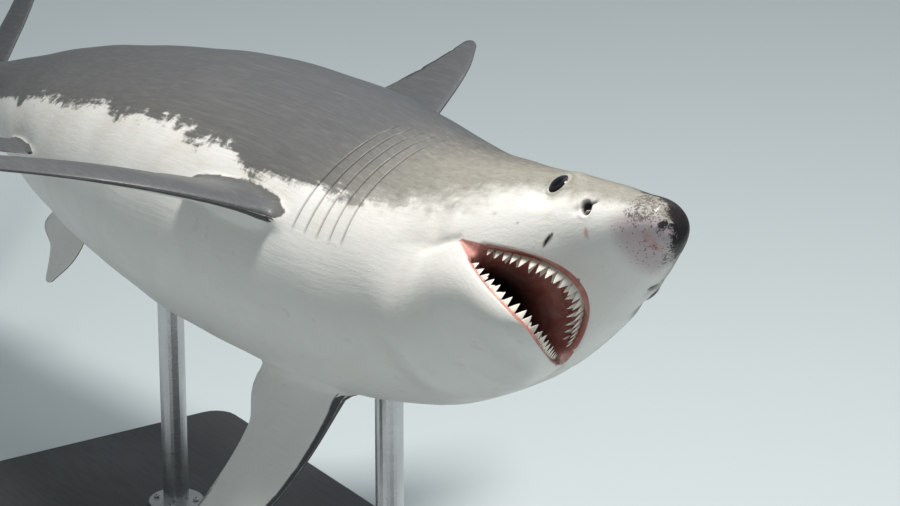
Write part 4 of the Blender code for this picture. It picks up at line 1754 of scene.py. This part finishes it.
    def folds(self, s: Array, angle: Array) -> Array:
        """Creases behind the mouth, the cheek, the side line and the trunk's muscles.

        Args:
            s: stations.
            angle: angles in degrees.

        Returns:
            Heights in metres.
        """
        behind = s - self.form.mouth_corner
        fold = np.sin(behind * 330.0 + 0.05 * angle)
        fold = fold * hill(s, 0.128, 0.013) * hill(angle, 124.0, 17.0)
        groove = hill(angle, 121.0 + 250.0 * behind, 2.4)
        groove = groove * smooth(0.110, 0.114, s) * (1.0 - smooth(0.124, 0.142, s))
        muscle = np.sin(s * 70.0 + 0.04 * angle) * np.sin(np.radians(angle) * 3.0 + s * 20.0)
        for seat in (0.305, 0.540):
            muscle = muscle * (1.0 - hill(s, seat, 0.024, 4))
        cheek = hill(s, 0.118, 0.022) * hill(angle, 92.0, 20.0)
        line = hill(angle, 78.0, 1.6) * smooth(0.26, 0.30, s)
        height = self.fold_height * fold - self.corner_depth * groove
        height = height + self.muscle_height * muscle * smooth(0.02, 0.10, s)
        return height + self.cheek_height * cheek - self.side_line_depth * line

    # ---- markings
    def mark(self, mesh: Mesh) -> None:
        """Work out where each colour lies.

        Args:
            mesh: the skin.
        """
        rest, zone, extra, deep, root = read(mesh, "rest", "zone", "extra", "deep", "root")
        s, r, u = rest.T
        angle = np.degrees(self.form.girth_angle(s, r, u))
        edges = edge_array(mesh)
        upper = zone == Zone.UPPER.value
        right = r > 0.0
        # the snout tip's own black, its tilted border carrying it further back on the left side as
        # painted shade
        tilt = 0.59 * u - 0.64 * r - 0.49 * s
        black_tip_and_shade = 1.25 * smooth(-0.0112, 0.0086, tilt) * (1.0 - smooth(0.007, 0.022, s))
        black_tip_and_shade = black_tip_and_shade * (1.0 - smooth(0.005, 0.014, s) * smooth(100.0, 135.0, angle))
        smudge = hill(tilt, -0.0066, 0.0036) * hill(angle, 140.0, 34.0) * (right & (s < 0.012))
        over = 1.15 * (1.0 - smooth(42.0, 68.0, angle)) * (1.0 - smooth(0.010, 0.044, s))
        ridge = 0.30 * (1.0 - smooth(14.0, 46.0, angle)) * (1.0 - smooth(0.060, 0.120, s))
        crown = np.maximum.reduce([black_tip_and_shade + 0.66 * smudge, over, ridge])
        freckle = np.maximum.reduce([
            (1.0 - smooth(0.010, 0.030, s)) * (1.0 - 0.42 * smooth(126.0, 152.0, angle)),
            0.40 * (1.0 - smooth(0.040, 0.082, s)) * (1.0 - smooth(92.0, 118.0, angle)),
            0.62 * hill(s, 0.1249, 0.0050) * hill(angle, 102.0, 7.0) * right])
        blush = smooth(112.0, 138.0, angle) * (1.0 - smooth(0.017, 0.031, s))
        rosy = np.maximum(
            0.9 * hill(s, 0.0088, 0.0042) * smooth(138.0, 164.0, angle),
            1.35 * hill(s, 0.0391, 0.0016) * hill(angle, 140.0, 9.5) * right)
        scar, halo = self.scars(s, angle, right)
        # the throat funnel painted near-black as shade
        throat = (zone == Zone.THROAT.value) * smooth(0.05, 0.55, extra)
        write(mesh, flow=rest * self.form.length,
              rise=relax(self.rise(s, u, angle, zone), edges, 0.9 * root, 10),
              flesh=self.flesh(s, zone, extra, edges), deep=np.maximum(deep, throat * 0.97),
              crown=upper * np.clip(crown, 0.0, 1.25), freckle=upper * freckle,
              blush=upper * blush, rosy=upper * rosy, scar=upper * scar, halo=upper * halo)

    @staticmethod
    def rise(s: Array, up: Array, angle: Array, zone: Array) -> Array:
        """How far each point lies above the border between dark and white.

        Args:
            s: stations.
            up: shares of the length up.
            angle: angles in degrees.
            zone: where the points lie.

        Returns:
            Right angles round the body.
        """
        border = Curve({
            0.0: 104.0, 0.022: 99.0, 0.049: 95.0, 0.0675: 94.0, 0.095: 97.0, 0.133: 104.0,
            0.184: 109.0, 0.228: 114.0, 0.285: 117.0, 0.34: 116.0, 0.42: 112.0, 0.52: 112.0,
            0.65: 116.0, 0.80: 126.0, 1.0: 135.0})
        above = zone == Zone.FIN_ABOVE.value
        rise = np.where(above, 0.60, (border(s) - angle) / 90.0)
        rise = np.where(zone == Zone.FIN_BELOW.value, -0.45, rise)
        return np.where(above & (s > 0.72) & (s < 0.80) & (up < -0.01), 0.10, rise)

    def flesh(self, s: Array, zone: Array, extra: Array, edges: Array) -> Array:
        """Where the skin turns to gum and mouth lining.

        Args:
            s: stations.
            zone: where the points lie.
            extra: nearness to the lips.
            edges: vertex numbers of every edge.

        Returns:
            Share of flesh.
        """
        inside = (zone > Zone.JAW.value) & (zone < Zone.FIN_ABOVE.value)
        upper = (zone == Zone.UPPER.value) & (s > self.form.mouth_front) & (s < 0.114)
        jaw = (zone == Zone.JAW.value) & (s < 0.112)
        near = np.clip(extra, 0.0, 1.0) * np.pi * self.form.side(s)
        reach = extra * math.pi * np.maximum(self.form.mouth_right(s), 0.004)
        lip = np.maximum(upper * (1.0 - smooth(0.0002, 0.0012, near)),
                         jaw * (1.0 - smooth(0.0002, 0.0012, reach)) * 0.8)
        flesh = np.maximum(np.where(inside, 1.0, 0.0), lip * 0.8)
        return relax(flesh, edges, np.where(s < 0.13, 0.4, 0.0), 1)

    @staticmethod
    def scars(s: Array, angle: Array, right: Array) -> tuple[Array, Array]:
        """Dark rake marks on the right cheek, with a painted highlight along one edge of each.

        Args:
            s: stations.
            angle: angles in degrees.
            right: which points lie on the right.

        Returns:
            Darkness, and the strength of the painted highlight.
        """
        girth = 0.045
        scar, halo = np.zeros(len(s)), np.zeros(len(s))
        for s0, a0, s1, a1, width, strength in (
                (0.0636, 142.4, 0.0575, 134.4, 0.00140, 1.7),
                (0.1262, 100.0, 0.1236, 104.0, 0.00040, 0.8),
                (0.1290, 99.0, 0.1272, 102.0, 0.00034, 0.7),
                (0.0800, 112.0, 0.0765, 117.0, 0.00026, 0.5),
                (0.1000, 106.0, 0.0930, 107.0, 0.00024, 0.4)):
            run = np.array([s1 - s0, math.radians(a1 - a0) * girth])
            size = np.linalg.norm(run)
            run = run / size
            x, y = s - s0, np.radians(angle - a0) * girth
            part, across = (x * run[0] + y * run[1]) / size, y * run[0] - x * run[1]
            ends = right * smooth(-0.12, 0.12, part) * (1.0 - smooth(0.88, 1.12, part))
            slim = width * (0.45 + 0.45 * np.sin(np.pi * np.clip(part, 0.0, 1.0)))
            # painted highlight: a pale line set to one side of each mark
            edge = hill(across, 2.4 * width, 1.3 * width) * ends
            scar = np.maximum(scar, np.minimum(strength * hill(across, 0.0, slim) * ends, 1.0))
            halo = np.maximum(halo, min(strength, 1.0) * 0.8 * edge)
        return scar, halo

    def make(self) -> Piece:
        """Returns:
            The skin.
        """
        piece = self.assemble()
        self.refine(piece)
        set_positions(piece.data, self.form.to_world(
            *(positions(piece.data) / self.form.length).T))
        self.round_lips(piece.data)
        self.join_fins(piece)
        self.displace(piece.data)
        self.mark(piece.data)
        piece.data.materials.clear()
        piece.data.materials.append(SharkSkin().make())
        only(piece)
        bpy.ops.object.shade_smooth()
        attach(piece, "root")
        flesh = [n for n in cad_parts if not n.startswith(("eye_", "stand_"))]
        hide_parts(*flesh)
        return piece


# ------------------------------------------------------------------ teeth
@dataclass(frozen=True)
class ToothRow:
    """One row on both sides of a jaw: teeth on each side, size, seat and backward lie."""

    name: str
    count: int
    tall: float
    inset: float
    drop: float
    lie: float
    lower: bool = False


@dataclass
class Teeth:
    """Rows of serrated blades along both jaws."""

    form: BodyForm
    width: float = 0.0060
    loops: int = 27
    around: int = 16
    mouth_run: float = 0.056
    serration: float = 0.030
    rows: tuple[ToothRow, ...] = (
        ToothRow("teeth_upper", 10, 0.0082, 0.0034, 0.0012, 0.10),
        ToothRow("teeth_lower", 10, 0.007216, 0.0034, 0.0012, 0.16, lower=True),
        ToothRow("teeth_upper_inner", 7, 0.006396, 0.0060, 0.0022, 0.60),
        ToothRow("teeth_lower_inner", 8, 0.006068, 0.0064, 0.0020, 0.75, lower=True))

    def places(self, count: int, inset: float) -> Array:
        """Spread teeth evenly along the mouth line.

        Args:
            count: teeth on one side.
            inset: distance in from the lips.

        Returns:
            Station, right and lean of each tooth.
        """
        station = self.form.mouth_front + self.mouth_run * np.linspace(0.0, 0.86, 200) ** 2
        right = self.form.mouth_right(station)
        run = np.concatenate([[0.0], np.cumsum(np.hypot(np.diff(station), np.diff(right)))])
        at = (np.arange(count) + 0.5) / count * run[-1]
        slope = np.arctan2(np.gradient(right, run), np.gradient(station, run))
        lean = np.interp(at, run, slope)
        middle = np.interp(at, run, station) + inset * np.sin(lean)
        return np.column_stack([middle, np.interp(at, run, right) - inset * np.cos(lean), lean])

    def blade(self) -> Array:
        """One tooth of unit height, root to tip.

        Returns:
            Points as (along the jaw, thickness, height), loop by loop.
        """
        loops = []
        turn = np.linspace(0.0, 2.0 * math.pi, self.around, endpoint=False)
        for number, v in enumerate(np.linspace(0.0, 1.0, self.loops)):
            wide = 0.5 * (1.0 - v) ** 0.88 + 0.004
            wide *= 1.0 + self.serration * (-1.0) ** number * (v > 0.12) * (v < 0.97)
            thick = 0.30 * wide + 0.004
            x = wide * np.cos(turn)
            y = thick * np.sin(turn) * (1.0 - 0.45 * (np.sin(turn) < 0.0))
            hook = 0.10 * v ** 1.6
            loops.append(np.column_stack([x + hook, y + 0.06 * v * v, np.full(self.around, v)]))
        return np.concatenate(loops)

    def row(self, row: ToothRow) -> Piece:
        """One row of teeth on both sides of a jaw.

        Args:
            row: which row.

        Returns:
            The joined piece.
        """
        unit = self.blade()
        wander = np.random.default_rng(len(row.name)).normal(0.0, 1.0, (row.count, 2, 3))
        wander = np.clip(wander, -1.6, 1.6)
        points = []
        faces: Faces = []
        for number, (station, right, lean) in enumerate(self.places(row.count, row.inset)):
            shrink = 1.0 - 0.68 * (number / row.count) ** 1.5
            wide = self.width * (0.58 + 0.42 * shrink)
            level = float(self.form.lip(station)[1])
            for side, change in zip((1.0, -1.0), wander[number]):
                along, thick, high = (unit * (wide, wide, row.tall * shrink)).T
                high = high * (1.0 + 0.05 * change[0])
                along = along + 0.045 * change[1] * high
                inward = thick + (row.lie + 0.05 * change[2]) * high
                s = station + along * math.cos(lean) + inward * math.sin(lean)
                r = side * (right + along * math.sin(lean) - inward * math.cos(lean))
                up = level + (high - row.drop) * (1.0 if row.lower else -1.0)
                faces += tube_faces(self.loops, self.around, len(points) * len(unit))
                points.append(self.form.to_world(
                    *(self.form.open_jaw(s, r, up) if row.lower else (s, r, up))))
        piece = new_piece(row.name, np.concatenate(points), faces)
        write(piece.data, root=np.tile(1.0 - unit[:, 2], len(points)))
        return piece

    def make(self) -> list[Piece]:
        """Both jaws' teeth, dressed and parented to the root.

        Returns:
            A piece for each row.
        """
        enamel = Enamel().make()
        pieces = [self.row(row) for row in self.rows]
        for piece in pieces:
            piece.data.materials.append(enamel)
            only(piece)
            bpy.ops.object.shade_smooth_by_angle(angle=math.radians(40.0))
            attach(piece, "root")
        return pieces


# ------------------------------------------------------------------ eyes
@dataclass
class Eyes:
    """Two dark eyes set in their sockets."""

    skin: Skin
    radius: float = 0.0062
    depth_radius: float = 0.0030
    sunk: float = 0.0016

    def eye(self, name: str, side: float, dress: Material) -> Piece:
        """One eye, shaped from a ball.

        Args:
            name: the solid it stands for.
            side: 1 for right, -1 for left.
            dress: the finish.

        Returns:
            The eye.
        """
        here, outward, along, upward = self.skin.eye_frame(side)
        wide, deep, sunk = (share * self.skin.form.length
                            for share in (self.radius, self.depth_radius, self.sunk))
        bpy.ops.object.select_all(action="DESELECT")
        bpy.ops.mesh.primitive_uv_sphere_add(segments=64, ring_count=40, radius=1.0)
        eye = bpy.context.active_object
        eye.name = eye.data.name = name + "_ball"
        ball = positions(eye.data)
        write(eye.data, iris=np.hypot(ball[:, 0], ball[:, 1]))
        set_positions(eye.data, here - outward * sunk + ball @ np.stack(
            [wide * along, wide * upward, deep * outward]))
        bpy.ops.object.mode_set(mode="EDIT")
        bpy.ops.mesh.select_all(action="SELECT")
        bpy.ops.mesh.normals_make_consistent(inside=False)
        bpy.ops.object.mode_set(mode="OBJECT")
        bpy.ops.object.shade_smooth()
        eye.data.materials.append(dress)
        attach(eye, "root")
        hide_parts(name)
        return eye

    def make(self) -> list[Piece]:
        """The right eye and the left."""
        dress = DarkEye().make()
        return [self.eye("eye_right", 1.0, dress), self.eye("eye_left", -1.0, dress)]


# ------------------------------------------------------------------ stand
@dataclass
class Stand:
    """The flat base and its rods, with screws through the collars."""

    screws: int = 4
    screw_circle: float = 0.048
    screw_radius: float = 0.0065
    screw_head: float = 0.006
    socket_radius: float = 0.0034
    collar_top: float = 0.018
    rounding: float = 0.0016

    def screw(self, name: str, place: Vector, dress: Material) -> Piece:
        """One round-headed screw with a hexagon socket.

        Args:
            name: the piece's name.
            place: middle of the head's underside.
            dress: the finish.

        Returns:
            The screw.
        """
        bpy.ops.object.select_all(action="DESELECT")
        bpy.ops.mesh.primitive_cylinder_add(
            vertices=36, radius=self.screw_radius, depth=self.screw_head,
            location=place + Vector((0.0, 0.0, 0.5 * self.screw_head)))
        piece = bpy.context.active_object
        piece.name = piece.data.name = name
        bpy.ops.object.transform_apply(location=True, rotation=True, scale=True)
        bevel = piece.modifiers.new("round", "BEVEL")
        bevel.width, bevel.segments, bevel.limit_method = self.rounding, 4, "ANGLE"
        bpy.ops.object.modifier_apply(modifier="round")
        bpy.ops.mesh.primitive_cylinder_add(
            vertices=6, radius=self.socket_radius, depth=self.screw_head,
            location=place + Vector((0.0, 0.0, self.screw_head)))
        socket = bpy.context.active_object
        only(piece)
        cut = piece.modifiers.new("socket", "BOOLEAN")
        cut.operation, cut.solver, cut.object = "DIFFERENCE", "EXACT", socket
        bpy.ops.object.modifier_apply(modifier="socket")
        bpy.data.objects.remove(socket, do_unlink=True)
        bpy.ops.object.shade_smooth_by_angle(angle=math.radians(35.0))
        piece.data.materials.append(dress)
        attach(piece, "root")
        return piece

    def make(self) -> list[Piece]:
        """Dress the solids and add the screws.

        Returns:
            The screws.
        """
        board, steel = PaintedBoard().make(), BrushedSteel().make()
        for name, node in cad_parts.items():
            if name.startswith("stand_"):
                node.data.materials.clear()
                node.data.materials.append(board if name == "stand_base" else steel)
        pieces = []
        for name in ("stand_rod_front", "stand_rod_rear"):
            low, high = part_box(name)
            foot = Vector((0.5 * (low.x + high.x), 0.5 * (low.y + high.y),
                           low.z + self.collar_top))
            for k in range(self.screws):
                turn = math.radians(45.0 + 360.0 * k / self.screws)
                out = Vector((math.cos(turn), math.sin(turn), 0.0)) * self.screw_circle
                pieces.append(self.screw(f"{name}_screw_{k + 1}", foot + out, steel))
        return pieces


# ------------------------------------------------------------------ studio
@dataclass
class Studio:
    """Pale floor, soft lights and the camera."""

    form: BodyForm
    azimuth: float = 56.9
    elevation: float = 20.0
    focal: float = 3400.0
    per_metre: float = 572.6
    tip_at: tuple[float, float] = (674.9, 223.7)
    frame_size: tuple[int, int] = (900, 506)
    sensor: float = 36.0
    surround: Triple = (0.80, 0.88, 0.90)
    surround_strength: float = 0.30

    def floor(self) -> None:
        """Wide plain floor, just under the stand."""
        bpy.ops.object.select_all(action="DESELECT")
        bpy.ops.mesh.primitive_plane_add(size=240.0, location=(0.0, 0.0, -0.0005))
        floor = bpy.context.active_object
        floor.name = "floor"
        floor.data.materials.append(PaleFloor().make())

    @staticmethod
    def lamp(name: str, place: Triple, aim: Triple, size: float, power: float, tint: Triple
             ) -> None:
        """One soft square light aimed at a point.

        Args:
            name: the light's name.
            place: where it hangs.
            aim: what it points at.
            size: its width in metres.
            power: its watts.
            tint: its colour.
        """
        data = bpy.data.lights.new(name, "AREA")
        data.shape, data.size, data.energy, data.color = "SQUARE", size, power, tint
        light = in_scene(name, data)
        light.location = place
        light.rotation_euler = (Vector(aim) - Vector(place)).to_track_quat("-Z", "Y").to_euler()

    def lights(self) -> None:
        """Key from high above, broad fill and a pale surround."""
        self.lamp("key", (1.05, -0.05, 5.3), (0.9, 0.0, 1.1), 1.1, 258.0, (1.0, 0.975, 0.94))
        self.lamp("wash", (-1.2, 3.6, 7.0), (-1.0, 3.2, 0.0), 6.0, 190.0, (0.93, 0.97, 1.0))
        self.lamp("fill", (4.8, -4.2, 2.6), (0.6, 0.0, 1.0), 3.5, 12.0, (0.90, 0.96, 1.0))
        world = bpy.data.worlds.new("surround")
        bpy.context.scene.world = world
        world.use_nodes = True
        back = world.node_tree.nodes["Background"]
        back.inputs["Color"].default_value = (*self.surround, 1.0)
        back.inputs["Strength"].default_value = self.surround_strength

    def camera(self) -> None:
        """Camera that puts the snout tip where it belongs in the frame."""
        a, e = math.radians(self.azimuth), math.radians(self.elevation)
        back = np.array([math.sin(a) * math.cos(e), -math.cos(a) * math.cos(e), math.sin(e)])
        right = np.array([math.cos(a), math.sin(a), 0.0])
        up = np.cross(back, right)
        across = (self.tip_at[0] - 0.5 * self.frame_size[0]) / self.per_metre
        over = (0.5 * self.frame_size[1] - self.tip_at[1]) / self.per_metre
        reach = self.focal / self.per_metre
        place = np.array(self.form.tip) - across * right - over * up + reach * back
        data = bpy.data.cameras.new("camera")
        data.sensor_width = self.sensor
        data.lens = self.focal / self.frame_size[0] * self.sensor
        data.clip_end = 400.0
        data.dof.use_dof = False
        camera = in_scene("camera", data)
        turn = Matrix(np.column_stack([right, up, back]).tolist())
        camera.matrix_world = Matrix.Translation(place) @ turn.to_4x4()
        bpy.context.scene.camera = camera

    def make(self) -> None:
        """Set the studio up."""
        bpy.context.scene.view_settings.view_transform = "Standard"
        self.floor()
        self.lights()
        self.camera()


def main() -> None:
    """Build every piece in order and note the sizes."""
    logging.basicConfig(level=logging.INFO, format="%(message)s")
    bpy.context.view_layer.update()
    bpy.ops.object.select_all(action="DESELECT")
    form = BodyForm()
    skin = Skin(form, Fins(form))
    pieces = [skin.make()]
    pieces += Teeth(form).make()
    pieces += Eyes(skin).make()
    pieces += Stand().make()
    Studio(form).make()
    for piece in pieces:
        LOG.info("%s: %d faces", piece.name, len(piece.data.polygons))


if __name__ == "__main__":
    main()
